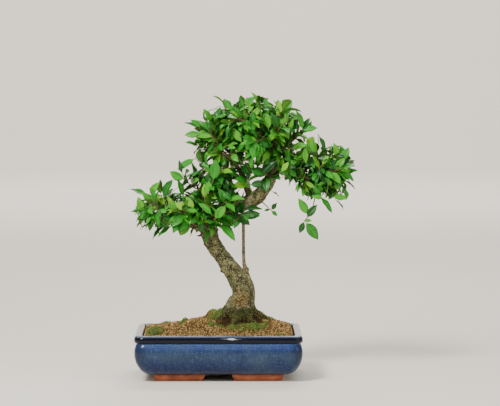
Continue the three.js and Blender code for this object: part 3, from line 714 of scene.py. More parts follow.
moss = {
    # middle, half width, half depth, height, the share of yellow in its green, and up to where, from -1 at
    # its left end to 1, soil lies over it
    "cushions": {
        "moss_corner": (-99, -30, 13, 20, 5, 0.05, -2),
        "moss_left_of_trunk": (-10, 3, 10, 12, 11, 0.75, -0.1),
        "moss_before_trunk": (46, -38, 20, 8, 5, 0.5, -2),
    },
    # small tufts between them, which the CAD model leaves out
    "tufts": [
        (-53, 4, 5, 4, 6, 0.4), (-60, -6, 4, 3, 3, 0.3), (22, -34, 7, 5, 3, 0.6), (66, -30, 7, 5, 4, 0.6),
        (2, 1, 7, 8, 10, 0.5), (0, -8, 7, 7, 7, 0.3), (-13, -21, 4, 4, 3, 0.35), (-9, -26, 6, 5, 3, 0.2),
        (56, -30, 5, 4, 4, 0.5), (74, -20, 4, 4, 3, 0.3), (4, -33, 5, 4, 2, 0.3), (50, 32, 9, 7, 4, 0.4),
        (6, 38, 8, 6, 4, 0.3), (80, 14, 7, 6, 3, 0.4), (-84, 56, 9, 7, 3, 0.3), (98, -52, 5, 4, 2, 0.3),
    ],
    "onWood": 900,  # sprigs on the roots and the trunk's foot
    "upWood": 16,  # how high over the soil they grow
    "sprig": (1.5, 4.6),  # length of a sprig
    "perSquare": 1.15,  # sprigs on a square millimetre
    "seed": 23,
    "thick": 0.36,  # radius of a sprig at its foot
    "ragged": 0.16,  # share by which a cushion's outline wanders
    "lump": (0.6, 0.6, 1.4),  # how far its lumps stand out across and up, and how wide they are
    "lumpWidth": 4,
    "sunk": 1.2,  # how far its edge lies in the soil
    "colours": [(0, "#2e3a16"), (0.55, "#6f8734"), (1, "#c4bc66")],
}


def makeMossMaterial():
    # living moss: thousands of wet green scales, which look matt and velvety, lighter at their tips
    material, tree, _ = startMaterial("livingMoss", {"Roughness": 0.8, "Specular IOR Level": 0.25})
    return finishMaterial(material, toneColour(tree, moss["colours"]))


def sprigMesh(foot, heading, yellow, chance):
    # one thin three-sided cone from each foot along its heading, dark at the foot and light at the tip
    count = len(foot)
    length = chance.uniform(*moss["sprig"], count)[:, None]
    side = unit(np.cross(heading, [0.3, 0.5, 0.81])) * moss["thick"]
    other = np.cross(heading, side)
    third = math.tau / 3
    corners = [foot + side * math.cos(turn) + other * math.sin(turn) for turn in (0, third, -third)]
    points = np.stack([*corners, foot + heading * length], 1).reshape(-1, 3)
    one = np.array([[0, 1, 3], [1, 2, 3], [2, 0, 3], [0, 2, 1]])
    triangles = (one[None] + (np.arange(count) * 4)[:, None, None]).reshape(-1, 3)
    tone = np.repeat(chance.uniform(0.15, 0.6, count) + yellow * 0.4, 4).reshape(-1, 4)
    tone[:, :3] *= 0.5
    return (points, np.zeros((0, 4), int), triangles), tone.ravel()


def cushionMesh(x, y, halfWidth, halfDepth, height, yellow, soilTo, chance):
    # cushion: the top of an ellipsoid with 4 mm lumps, on the soil; sprigs stand out of it, leaning
    # outwards and a little by chance, and grow in clumps
    turns, steps = 40, 12
    turn = np.arange(turns) / turns * math.tau
    rise = np.linspace(0, np.pi / 2, steps)
    outX, outY = np.cos(turn) * halfWidth, np.sin(turn) * halfDepth
    ragged = 1 + moss["ragged"] * valueNoise(np.stack([x + outX, y + outY, 0 * turn], -1), 5, 3)
    share = np.cos(rise)[:-1, None] * ragged
    flatX, flatY = x + outX * share, y + outY * share
    top = soilHeight(flatX, flatY) - moss["sunk"] + np.sin(rise)[:-1, None] * height
    rings = np.stack([flatX, flatY, top], -1)
    lumps = valueNoise(rings, moss["lumpWidth"], 5)[..., None] * moss["lump"]
    rings = rings + lumps * np.sin(rise)[:-1, None, None]
    under = rings[:1] - [0, 0, 2.5]
    body = closedLoft(np.concatenate([under, rings]))

    count = int(np.pi * halfWidth * halfDepth * moss["perSquare"])
    out = np.sqrt(chance.uniform(0, 1, count)) * 1.06
    turn = chance.uniform(0, math.tau, count)
    flat = np.stack([np.cos(turn) * out, np.sin(turn) * out], -1)
    root = np.column_stack([x + flat[:, 0] * halfWidth, y + flat[:, 1] * halfDepth])
    domed = np.sqrt(np.clip(1 - out * out, 0, 1))
    foot = np.column_stack([root, soilHeight(root[:, 0], root[:, 1]) - 1.6 + domed * height])
    heading = unit(np.column_stack([flat * 0.9, 0.35 + domed]) + chance.normal(0, 0.45, (count, 3)))
    covered = flat[:, 0] + 0.3 * valueNoise(foot, 5, 11) < soilTo
    clumped = (valueNoise(foot, 3.5, 6) > -0.35) & ~covered
    sprigs, tone = sprigMesh(foot[clumped], heading[clumped], yellow, chance)
    bodyTone = 0.12 + 0.2 * yellow + 0.2 * valueNoise(body[0], 3)
    bare = foot[((out > 0.45) & (valueNoise(foot, 5, 4) > 0.1)) | covered] + [0, 0, 0.5]
    return joinParts([body, sprigs]), np.concatenate([bodyTone, tone]), bare


def makeMoss():
    chance = np.random.RandomState(moss["seed"])
    bare = []
    for name, cushion in moss["cushions"].items():
        parts, tone, edge = cushionMesh(*cushion, chance)
        bare.append(edge)
        putMesh(name + "_cushion", *parts, [livingMoss], "moss", [name], tone=tone)
    made = [cushionMesh(*tuft, -2, chance) for tuft in moss["tufts"]]
    tones = np.concatenate([tone for _, tone, _ in made])
    putMesh("moss_tufts", *joinParts([parts for parts, _, _ in made]), [livingMoss], "moss", tone=tones)
    # granules that lie on the cushions' flanks, where the moss is bare
    places = np.concatenate(bare)
    sizes = chance.uniform(*soil["crumbSize"], len(places))
    dust = makeGranuleMaterial("claySprinkledOnMoss", soil["sprinkled"])
    putGrains("moss_dusting", places, sizes, chance.uniform(size=len(places)), chance, dust)


livingMoss = makeMossMaterial()
makeMoss()
print("moss is in")

wood = {
    # x, y, z, radius from the stump in the soil to the tip
    "trunk": [
        (33, 4, 62, 21), (33, 3.5, 78, 24), (33, 3, 92, 22.5), (33.5, 2, 103, 20), (35.5, 1, 113, 18.2),
        (37.5, 0, 124, 17), (37.5, 0, 135, 16.5), (32.5, 1, 147, 15.6), (24, 2, 161, 14.8),
        (12.5, 2, 177, 13), (1, 1, 193, 12), (-8.5, -1, 207, 12.3), (-14, -2, 222, 13.6),
        (-14.5, -1, 237, 12.8), (-7, 1, 251, 12), (8, 3, 262, 11.7), (27, 4, 267.5, 11.4),
        (46, 3, 272, 11.5), (62, 1, 282, 11.6), (74, -1, 297, 10.4), (83, -2, 314, 9.4),
        (88, -1, 331, 8.6), (88, 1, 349, 7.2), (84, 3, 367, 5.8), (77, 4, 384, 4.4), (68, 4, 400, 3),
    ],
    # degrees from +X towards +Y, length, radius at the trunk
    "roots": [(-8, 50, 8), (-52, 44, 7), (-100, 42, 7.5), (-150, 44, 7), (172, 46, 7.5), (75, 40, 6.5)],
    "aerialRoot": [
        (37, -3, 268, 3.2), (38.5, -4.5, 246, 2.3), (38.8, -4.5, 225, 2.1), (39, -4.5, 200, 2.1),
        (39.5, -4.5, 180, 2.4), (42, -3.5, 167, 3.6), (46.5, -2.5, 154, 3.6), (52, -2, 140, 3.6),
        (53.5, -2.5, 126, 3.4), (53, -4, 112, 3.6), (58, -5, 98, 4), (66, -7, 84, 3.4),
    ],
    # the points each limb runs through, and its radius at both ends
    "limbs": {
        "low": (
            [(-12, -1, 224), (-33, -2, 233), (-56, -4, 241), (-80, -5, 249), (-102, -4, 256)],
            (6.5, 2),
        ),
        "lowBack": ([(-42, -3, 237), (-58, 16, 245), (-74, 32, 250)], (3.4, 1.6)),
        "lowFront": ([(-27, -2, 231), (-38, -22, 240), (-52, -38, 246)], (3.4, 1.6)),
        "bendFront": ([(-6, 0, 248), (4, -19, 254), (9, -34, 262)], (3.6, 1.6)),
        "middle": ([(-13, 0, 238), (-20, -3, 260), (-28, -5, 282), (-34, -6, 300)], (4.4, 1.6)),
        "fork": (
            [(52, 2, 275), (45, 6, 292), (39, 6, 312), (24, 4, 334), (4, 2, 352), (-16, 0, 366)],
            (6.2, 2),
        ),
        "forkFront": ([(32, 5, 323), (21, -18, 340), (6, -38, 352)], (3.4, 1.6)),
        "forkBack": ([(30, 5, 326), (22, 28, 344), (8, 46, 358)], (3.4, 1.6)),
        "right": (
            [(87, -1, 328), (106, -4, 336), (128, -6, 338), (150, -6, 334), (172, -4, 328)],
            (5.2, 1.8),
        ),
        "rightFront": ([(126, -6, 338), (142, -23, 334), (156, -34, 327)], (3, 1.6)),
        "rightBack": ([(120, -5, 337), (138, 14, 336), (156, 28, 331)], (3, 1.6)),
        "crownFront": ([(86, 1, 352), (76, -20, 368), (62, -42, 380)], (4, 1.8)),
        "crownBack": ([(85, 2, 358), (78, 26, 372), (66, 48, 382)], (4, 1.8)),
        "crownRight": ([(88, 0, 345), (106, 2, 362), (124, 4, 376)], (4.2, 1.8)),
        "crownLeft": ([(80, 4, 377), (58, 2, 392), (34, 0, 402)], (3.6, 1.8)),
        "stub": ([(-14, -2, 221), (-25, -4, 221), (-34, -6, 220)], (4, 1.2)),
    },
    "voxel": 1.2,
    "thinSkin": 0.5,  # what the aerial root loses in the voxel skin
    # height and place across of the furrow between the trunk and the aerial root grown onto it
    "furrow": [(96, 54), (104, 51), (115.5, 49.7), (128, 51), (144, 47.4), (160, 42.7)],
    "furrowWidth": 0.9,
    "furrowDeep": 1.4,
    "lumps": [(1, 13, 1), (0.75, 6, 2), (0.45, 3, 2)],  # height, width and flatness of the skin's lumps
    # stubs of cut twigs and thickened scars: place, how far they stand out, how wide they are
    "knots": [
        ((-25, -6, 203), 4.6, 3.6),
        ((4, -4, 164), 5, 3.6),
        ((12, -8, 157), 2.6, 3),
        ((20, -12, 178), 1.6, 5),
        ((48, -4, 168), 3.6, 3),
        ((30, -15, 122), 1.8, 8),
        ((45, -14, 106), 2.2, 7),
        ((22, -14, 100), 2, 7),
        ((-2, -12, 215), 1.8, 5),
        ((2, 12, 188), 2, 5),
        ((28, 17, 130), 2, 7),
    ],
    "bark": [(0.34, "#322f1c"), (0.46, "#716e46"), (0.62, "#9b9864")],
    # colours laid over it, as over the glaze
    "barkPale": ("#cdc494", (0.36, 0.2, 0.5)),
    "barkYoung": [(0.38, "#3e3024"), (0.72, "#a08e6c")],  # of thin wood: brown, ringed with pale scars
    "thinUnder": 6.5,  # radius in mm below which the bark turns young
    "youngAbove": (163, 176),  # mm over the ground, where young bark begins and is full
    "barkDark": "#1c160e",
    "barkCrack": ("#3c3422", (0.58, 0.38, 0.85)),
    "barkGreen": ("#4f5a26", (0.5, 0.66, 0.6)),
    "barkRust": "#a8702e",
    "rustAt": (36, -16, 122),  # a rusty patch on the front
    "rustEdge": 12,  # from its middle to where it begins to fade
    "rustWidth": 16,  # of the fading
    "dampBelow": 115,  # mm over the ground
}


def surfaceRootRoute(degrees, reach, radius):
    # leaves the flare of the trunk, runs out over the soil and dives into it
    turn = math.radians(degrees)
    route = []
    for distance, lift, thick in ((7, 22, 1.25), (20, 6, 1), (reach * 0.7, -1, 0.72), (reach, -5, 0.4)):
        x, y = soil["trunkX"] + math.cos(turn) * distance, soil["trunkY"] + math.sin(turn) * distance
        route.append((x, y, float(soilHeight(x, y)) + lift, radius * thick))
    return route


def routeTube(route, sides, steps):
    t = np.linspace(0, 1, steps)
    return closedLoft(tubeRings(curveThrough(route, t), routeRadius(route, t), sides))


def makeBark():
    # fig bark: thin and grey brown, rough with corky pale lenticels, darker and greenish where damp
    material, tree, place = startMaterial("livingFigBark", {"Roughness": 0.82, "Specular IOR Level": 0.3})
    # cracks run round the wood, so they are pressed flat; the rings of young bark still more
    flat = addNode(tree, "Mapping", {"Scale": (1, 1, 2.2), "Vector": place})
    ringed = addNode(tree, "Mapping", {"Scale": (0.4, 0.4, 1), "Vector": place})
    # patches 9 mm, cracks 3 mm and grit 1 mm across, algae in patches of 25 mm, scars every 3 mm
    patch, crack, grit, algae, scars = (
        addNode(tree, "TexNoise", {"Scale": scale, "Detail": detail, "Roughness": rough, "Vector": where})
        for scale, detail, rough, where in (
            (110, 4, 0.6, place),
            (300, 4, 0.7, flat),
            (1100, 2, 0.7, place),
            (40, 3, 0.6, place),
            (330, 2, 0.5, ringed),
        )
    )
    thin = addNode(tree, "Attribute", {"attribute_name": "thin"}, "Fac")
    furrow = addNode(tree, "Attribute", {"attribute_name": "furrow"}, "Fac")
    colour = addNode(tree, "ValToRGB", {"ramp": wood["bark"], "Fac": patch})
    young = addNode(tree, "ValToRGB", {"ramp": wood["barkYoung"], "Fac": scars})
    colour = layOver(tree, colour, algae, *wood["barkGreen"])
    # the rusty patch fades with the distance from its middle, unevenly
    middle = inFrame(wood["rustAt"]).tolist()
    distance = addNode(tree, "VectorMath", {"operation": "DISTANCE", 0: place, 1: middle}, "Value")
    distance = addNode(tree, "Math", {"operation": "MULTIPLY_ADD", 0: patch, 1: 0.02, 2: distance})
    edge = wood["rustEdge"] / 1000
    rust = wood["rustWidth"] / 1000 + edge
    colour = layOver(tree, colour, distance, wood["barkRust"], (rust, edge, 0.5))
    colour = layOver(tree, colour, crack, *wood["barkCrack"], blend="MULTIPLY")
    # plates 6 mm wide with dark seams between them, and painted shade in the furrow
    plates = {"feature": "DISTANCE_TO_EDGE", "Scale": 165, "Vector": flat}
    seams = addNode(tree, "TexVoronoi", plates, "Distance")
    colour = layOver(tree, colour, seams, wood["barkDark"], (0.14, 0.02, 0.75))
    colour = layOver(tree, colour, furrow, wood["barkDark"], (0, 1, 0.8))
    # lenticels: pale corky dots about 1.2 mm wide, 3 mm apart
    dots = addNode(tree, "TexVoronoi", {"Scale": 330, "Randomness": 1, "Vector": flat}, "Distance")
    colour = layOver(tree, colour, dots, *wood["barkPale"])
    colour = layOver(tree, colour, thin, young, (0, 0.77, 1))
    # damp foot: its edge wanders up and down by the algae's pattern
    height = addNode(tree, "SeparateXYZ", {0: place}, "Z")
    raised = addNode(tree, "Math", {"operation": "MULTIPLY_ADD", 0: algae, 1: 0.024, 2: height})
    damp = wood["dampBelow"] / 1000
    colour = layOver(tree, colour, raised, wood["barkDark"], (damp + 0.008, damp, 0.88))
    return finishMaterial(material, colour, (0.8, 0.9, crack), (0.5, 0.4, grit))


def nearestOn(spots, spine):
    # for each spot, which point of the spine is nearest
    blocks = np.array_split(spots, 40)
    return np.concatenate([((b[:, None] - spine[None, :, :3]) ** 2).sum(-1).argmin(1) for b in blocks])


def makeTrunk():
    # tubes along the trunk, the roots and the limbs, fused by a fine voxel skin; each point of it then
    # moves along its normal by lumps, ridges and knots, less where the wood is thin
    aerialRoot = [(x, y, z, radius + wood["thinSkin"]) for x, y, z, radius in wood["aerialRoot"]]
    parts = [routeTube(wood["trunk"], sides=40, steps=200), routeTube(aerialRoot, sides=12, steps=120)]
    parts += [routeTube(surfaceRootRoute(*root), sides=16, steps=40) for root in wood["roots"]]
    t = np.linspace(0, 1, 30)
    routes = wood["trunk"], wood["aerialRoot"]
    spine = [np.column_stack([curveThrough(route, t), routeRadius(route, t)]) for route in routes]
    for points, (start, end) in wood["limbs"].values():
        path = curveThrough(points, t)
        radii = start + (end - start) * t
        parts.append(closedLoft(tubeRings(path, radii, 12)))
        spine.append(np.column_stack([path, radii]))
    piece = putMesh("trunk_wood", *joinParts(parts), [makeBark()], "bark", ["trunk"])
    skin = piece.modifiers.new("skin", "REMESH")
    skin.mode = "VOXEL"
    skin.voxel_size = wood["voxel"] / 1000
    skin.use_smooth_shade = True
    applyModifiers(piece)

    count = len(piece.data.vertices)
    spots, normals = np.zeros(count * 3, np.float32), np.zeros(count * 3, np.float32)
    piece.data.vertices.foreach_get("co", spots)
    piece.data.vertices.foreach_get("normal", normals)
    spots = (spots.reshape(-1, 3) - potMiddle) * 1000
    normals = normals.reshape(-1, 3)
    spine = np.concatenate(spine)
    thick = spine[nearestOn(spots, spine), 3]
    # a furrow runs down the front beside the aerial root, where that has grown onto the trunk
    heights, across = np.array(wood["furrow"]).T
    furrow = np.exp(-(((spots[:, 0] - np.interp(spots[:, 2], heights, across)) / wood["furrowWidth"]) ** 2))
    furrow = furrow * (normals[:, 1] < 0) * np.clip((spots[:, 2] - heights[0]) / 6, 0, 1)
    furrow = furrow * np.clip((heights[-1] - spots[:, 2]) / 6, 0, 1)
    share = np.clip(thick / 13, 0.12, 1)
    lift = -wood["furrowDeep"] * furrow
    for salt, (height, width, squash) in enumerate(wood["lumps"]):
        lift += share * height * valueNoise(spots * [1, 1, squash], width, salt + 1)
    for place, height, width in wood["knots"]:
        lift += height * np.exp(-((spots - place) ** 2).sum(1) / width**2)
    spots = spots + normals * lift[:, None]
    piece.data.vertices.foreach_set("co", inFrame(spots).astype(np.float32).ravel())
    # thin wood low down, as the aerial root on the trunk, has old bark all the same
    young = np.interp(spots[:, 2], wood["youngAbove"], (0, 1))
    thin = np.clip(1 - thick / wood["thinUnder"], 0, 1) * young
    # the share of thin wood, and how far each point lies in the furrow, which the bark darkens as painted
    # shade
    for name, value in (("thin", thin), ("furrow", furrow)):
        shares = piece.data.attributes.new(name, "FLOAT", "POINT")
        shares.data.foreach_set("value", value.astype(np.float32))
    piece.data.update()
    print("wood has", len(piece.data.polygons), "faces")
    return spots, normals


def makeFootCover(spots, normals):
    # crumbs of humus and sprigs of moss on the skin of the roots and the trunk's foot: at chance points of
    # the skin up to a ragged height over the soil; the moss keeps to patches on the sides that face up
    chance = np.random.RandomState(soil["seed"] + 1)
    over = spots[:, 2] - soilHeight(spots[:, 0], spots[:, 1])
    ragged = soil["crumbReach"] + 4 * valueNoise(spots, 10, 8)
    crumbly = np.nonzero((over > -1) & (over < ragged) & (normals[:, 2] > -0.2))[0]
    chosen = chance.choice(crumbly, soil["crumbs"])
    places = spots[chosen] + chance.uniform(-0.5, 0.5, (len(chosen), 3))
    sizes = chance.uniform(*soil["crumbSize"], len(chosen))
    humus = makeGranuleMaterial("crumblyHumus", soil["humus"])
    putGrains("foot_crumbs", places, sizes, chance.uniform(size=len(chosen)) ** 1.5, chance, humus)

    mossy = (over > 0) & (over < moss["upWood"]) & (normals[:, 2] > 0) & (valueNoise(spots, 12, 9) > 0.08)
    chosen = chance.choice(np.nonzero(mossy)[0], moss["onWood"])
    heading = unit(normals[chosen] + [0, 0, 0.4] + chance.normal(0, 0.4, (len(chosen), 3)))
    parts, tone = sprigMesh(spots[chosen] - normals[chosen] * 0.3, heading, 0.35, chance)
    putMesh("foot_moss", *parts, [livingMoss], "moss", tone=tone)


makeFootCover(*makeTrunk())
print("wood is in")

foliage = {
    "seed": 7,
    # pad, middle and reach of the ellipsoid on which its stems' tips lie, how many stems, how low they go
    # as a share of its half height, and the turn of the first one
    "pads": [
        ("low_pad", (-48, -6, 259), (73, 46, 27), 12, 0.45, 0.4),
        ("middle", (-6, -6, 312), (52, 33, 22), 7, 0.6, 2.6),
        ("crown", (50, 0, 378), (82, 62, 48), 16, 0.45, 1.1),
        ("right_pad", (162, -3, 325), (43, 38, 31), 8, 0.75, 2.0),
    ],
    # the limbs that bear each pad
    "limbs": {
        "low_pad": ["low", "lowBack", "lowFront", "bendFront"],
        "middle": ["middle", "fork"],
        "crown": ["fork", "forkFront", "forkBack", "crownFront", "crownBack", "crownRight", "crownLeft"],
        "right_pad": ["right", "rightFront", "rightBack"],
    },
    # name, root in the wood, bend, tip, and how many leaves the rule gives, or each leaf: share of the
    # stem, direction and length
    "loneStems": [
        ("front_stem_1", (24, 2, 267), (26, -16, 254), (36, -34, 254), 6),
        ("front_stem_2", (84, -2, 320), (80, -20, 312), (72, -36, 318), 6),
        ("front_stem_3", (-4, 1, 252), (0, -20, 268), (14, -36, 276), 7),
        (
            "little_shoot",
            (60, 0, 280),
            (74, -8, 268),
            (82, -10, 260),
            [(0.9, (-8, -4, -1), 10), (1, (9, -3, 13), 15), (1, (10, -4, -8), 13)],
        ),
        (
            "hanging_stem",
            (148, -6, 335),
            (159, -12, 268),
            (134, -12, 244),
            [
                (0.86, (-14, -6, 27), 32),
                (0.94, (16, -5, 23), 28),
                (1, (10, -5, 1), 12),
                (1, (-7, -3, -17), 21),
                (1, (24, -1, -30), 38),
            ],
        ),
    ],
    # stems in the shade of the crown, and the tone of their leaves
    "shaded": {"front_stem_1": 0.14, "front_stem_2": 0.08, "front_stem_3": 0.3},
    "gap": 0.35,
    # lengths of a leaf, share of the usual distance that it keeps, share of the stem where leaves begin,
    # how far its face turns outwards, and one in how many of its test points is enough
    "rule": {"length": (25, 34), "ease": 1, "first": 0.3, "outward": 0.8, "every": 1},
    "width": 0.5,  # of a leaf's length
    "droop": 0.7,  # radians from root to tip
    "upward": 0.55,  # how far a leaf's face turns to the sky, and by chance
    "tilt": 0.4,
    "swing": 0.5,  # radians by which a leaf swings further aside, to either side in turn
    "opened": (1.15, 0.6),  # radians between leaf and stem, at the stem's root and at its tip
    "perStem": 8,
    "leafClear": 2.8,
    "leafTries": 13,
    "woodClear": 1.6,
    "stemRoot": 1.6,  # radius that a stem keeps clear
    "stemLength": 46,
    "stemBow": 0.16,
    "stemTries": 120,
    "stemSteps": 20,
    "stemSpacing": 4.5,
    "stemInward": 0.8,  # how far further in and lower than its tip a stem starts, as shares of its length
    "stemBelow": 0.35,
    "stray": (0.7, 20),  # mm by which each attempt moves the tip further, and the most
    "bendStray": (0.1, 0.006, 0.3),  # as shares of the length, at first, more at each attempt, and the most
    "limbBare": 0.2,  # share of a limb, from its root, that bears no stem
    "latestStart": 0.35,  # share of a stem that may lie in the wood
    "shortestStem": 28,
    "outline": [(0, 0.06), (0.46, 1), (0.77, 0.74), (1, 0)],
}
goldenAngle = math.pi * (3 - math.sqrt(5))
up = np.array([0.0, 0.0, 1.0])
draw = seededDraws(foliage["seed"])


def chanceStep():
    # a step of up to 1 along each axis
    return np.array([draw() * 2 - 1, draw() * 2 - 1, draw() * 2 - 1])


def mix(a, b, share):
    return (1 - share) * a + share * b


def onSpiral(k, count, lowEnd, phase):
    # the k-th of so many places on a unit sphere, turned on by the golden angle from the top to -lowEnd
    height = 1 - (k + 0.5) / count * (1 + lowEnd)
    ring = math.sqrt(1 - height * height)
    turn = phase + k * goldenAngle
    return np.array([math.cos(turn) * ring, math.sin(turn) * ring, height])


# Places that are taken by wood and leaves: point, distance to keep, which stem, and whether near its root.
room = 120000
taken = {
    "at": np.zeros((room, 3)),
    "reach": np.zeros(room),
    "stem": np.full(room, -9),
    "near": np.zeros(room, bool),
    "count": 0,
}


def take(points, reach, stem, near):
    start, end = taken["count"], taken["count"] + len(points)
    for key, value in (("at", points), ("reach", reach), ("stem", stem), ("near", near)):
        taken[key][start:end] = value
    taken["count"] = end


def placesNear(low, high, among=None):
    # which taken places lie in a box, widened by the most that one of them keeps clear, as the limbs do
    among = np.arange(taken["count"]) if among is None else among
    at = taken["at"][among]
    widest = limbReach.max()
    return among[((at > low - widest) & (at < high + widest)).all(1)]


def isClear(points, stem, near, share=1, among=None):
    # whether points keep their distance from all wood and leaves; share eases the distance
    low, high = points.min(0), points.max(0)
    widest = trunkReach.max()
    trunk = ((trunkPoints > low - widest) & (trunkPoints < high + widest)).all(1)
    if (apart(points[:, None], trunkPoints[trunk]) < trunkReach[trunk] * share).any():
        return False
    close = placesNear(low, high, among)
    if not len(close):
        return True
    distance = apart(points[:, None], taken["at"][close])
    ownRoot = (taken["stem"][close] == stem)[None] & (near[:, None] | taken["near"][close][None])
    return not ((distance < taken["reach"][close] * share) & ~ownRoot).any()


trunkShare = np.arange(201) / 200
trunkPoints = curveThrough(wood["trunk"], trunkShare)
trunkRadii = routeRadius(wood["trunk"], trunkShare)
trunkReach = trunkRadii + foliage["woodClear"]
limbShare = np.arange(25) / 24
limbNames = np.repeat(list(wood["limbs"]), len(limbShare))
limbPoints = np.concatenate([curveThrough(points, limbShare) for points, _ in wood["limbs"].values()])
limbRadii = np.concatenate([mix(a, b, limbShare) for _, (a, b) in wood["limbs"].values()])
limbReach = limbRadii + foliage["woodClear"]
limbAlong = np.tile(limbShare, len(wood["limbs"]))
stemCurves, rootsTaken = [], []


def stemPoint(stem, t):
    # quadratic curve from the stem's root through its bend to its tip
    t = np.asarray(t, float)[..., None]
    return stem["root"] * ((1 - t) * (1 - t)) + stem["bend"] * (2 * t * (1 - t)) + stem["tip"] * (t * t)


def stemDirection(stem, t):
    return unit((stem["bend"] - stem["root"]) * (1 - t) + (stem["tip"] - stem["bend"]) * t)


def axisPoint(stem, t):
    # the stem's wood runs straight between a few points of its curve, and leaves are rooted on that line
    steps = max(3, round(float(np.linalg.norm(stem["root"] - stem["tip"])) / 12))
    place = (t - stem["start"]) / (1 - stem["start"]) * steps
    k = min(math.floor(place), steps - 1)
    a = stemPoint(stem, mix(stem["start"], 1, k / steps))
    b = stemPoint(stem, mix(stem["start"], 1, (k + 1) / steps))
    return a + (b - a) * (place - k)


startShares = [1.0]
while startShares[-1] > 0:
    startShares.append(startShares[-1] - 0.005)


def stemStart(stem):
    # the share of a stem, from its root, after which it is free of all wood
    at, radii = np.concatenate([limbPoints, trunkPoints]), np.concatenate([limbRadii, trunkRadii])
    near = apart(at, stem["root"]) < 90
    points = stemPoint(stem, startShares[1:])
    distance = apart(points[:, None], at[near])
    touches = (distance < radii[near] + foliage["stemRoot"] * 0.8 + foliage["gap"]).any(1)
    first = touches.argmax() if touches.any() else len(startShares) - 1
    return startShares[first]


def stemPoints(stem):
    return stemPoint(stem, np.arange(foliage["stemSteps"] + 1) / foliage["stemSteps"])


def outerPoints(stem):
    points = stemPoints(stem)
    return points[np.arange(len(points)) >= stem["start"] * foliage["stemSteps"] - 1]


def takeStem(stem, index):
    stem["start"] = stemStart(stem)
    points = stemPoints(stem)
    take(points, foliage["stemRoot"] + foliage["woodClear"], index, np.arange(len(points)) > 3)
    stemCurves.append(outerPoints(stem))
    rootsTaken.append(stem["root"])


def stemTo(name, place, names, centre, index):
    # the stem that ends near a place: it starts from the nearest limb, inward and below, and each attempt
    # strays further, until the stem runs clear of wood and of the stems before it
    outward = unit(place - centre)
    allowed = np.isin(limbNames, names) & (limbAlong > foliage["limbBare"])
    usual = foliage["stemLength"]
    stray, strayMost = foliage["stray"]
    first, more, most = foliage["bendStray"]
    for attempt in range(foliage["stemTries"]):
        tip = place + chanceStep() * min(stray * attempt, strayMost)
        target = tip - outward * usual * foliage["stemInward"] - up * usual * foliage["stemBelow"]
        free = allowed & (apart(limbPoints, tip) > foliage["shortestStem"])
        for root in rootsTaken:
            free &= apart(limbPoints, root) > foliage["stemSpacing"]
        choices = limbPoints[free]
        root = choices[apart(choices, target).argmin()]
        length = float(np.linalg.norm(tip - root))
        bend = root + (tip - root) * 0.5 - up * foliage["stemBow"] * length
        bend = bend + chanceStep() * min(first + more * attempt, most) * length
        stem = {"name": name, "root": root, "bend": bend, "tip": tip, "centre": centre}
        stem.update(leaves=foliage["perStem"], start=stemStart(stem))
        if stem["start"] >= foliage["latestStart"]:
            continue
        keep = 2 * foliage["stemRoot"] + 2 * foliage["gap"]
        if (apart(outerPoints(stem)[:, None], np.concatenate(stemCurves)) <= keep).any():
            continue
        points = stemPoints(stem)[5:]
        if isClear(points, index, np.zeros(len(points), bool)):
            return stem
    raise RuntimeError("no room for " + name)


def growStems():
    stems = []
    for name, root, bend, tip, leaves in foliage["loneStems"]:
        root, bend, tip = (np.array(p, float) for p in (root, bend, tip))
        stem = {"name": name, "root": root, "bend": bend, "tip": tip, "centre": root, "leaves": leaves}
        takeStem(stem, len(stems))
        stems.append(stem)
    for name, centre, reach, count, lowEnd, phase in foliage["pads"]:
        centre = np.array(centre, float)
        for k in range(count):
            tip = onSpiral(k, count, lowEnd, phase) * reach
            tip = tip * (1 + 0.1 * (draw() * 2 - 1)) + centre
            stem = stemTo(f"{name}_stem_{k + 1}", tip, foliage["limbs"][name], centre, len(stems))
            takeStem(stem, len(stems))
            stems.append(stem)
    return stems


def bladeFrom(root, direction, sky, length, droop):
    # a leaf from its root: its upper face looks as nearly towards the sky side as its direction allows
    face = unit(sky - direction * (sky @ direction))
    shape = {"length": length, "halfWidth": length * foliage["width"] / 2, "droop": droop}
    return {"root": root, "direction": direction, "face": face, "side": np.cross(direction, face), **shape}


leafTest = [(i / 10, j / 2) for i in range(1, 11) for j in range(-2, 3)]
testShare, testAcross = np.array(leafTest).T
testWidth = np.interp(testShare, *zip(*foliage["outline"]))


def leafTestPoints(blade):
    # points of a leaf's middle surface: it bends down evenly by its droop, along a circle
    bent = blade["droop"] * testShare[:, None]
    forward = blade["length"] * np.sin(bent) / blade["droop"]
    down = blade["length"] * (1 - np.cos(bent)) / blade["droop"]
    across = (testAcross * testWidth * blade["halfWidth"])[:, None]
    return blade["root"] + blade["direction"] * forward + blade["side"] * across - blade["face"] * down


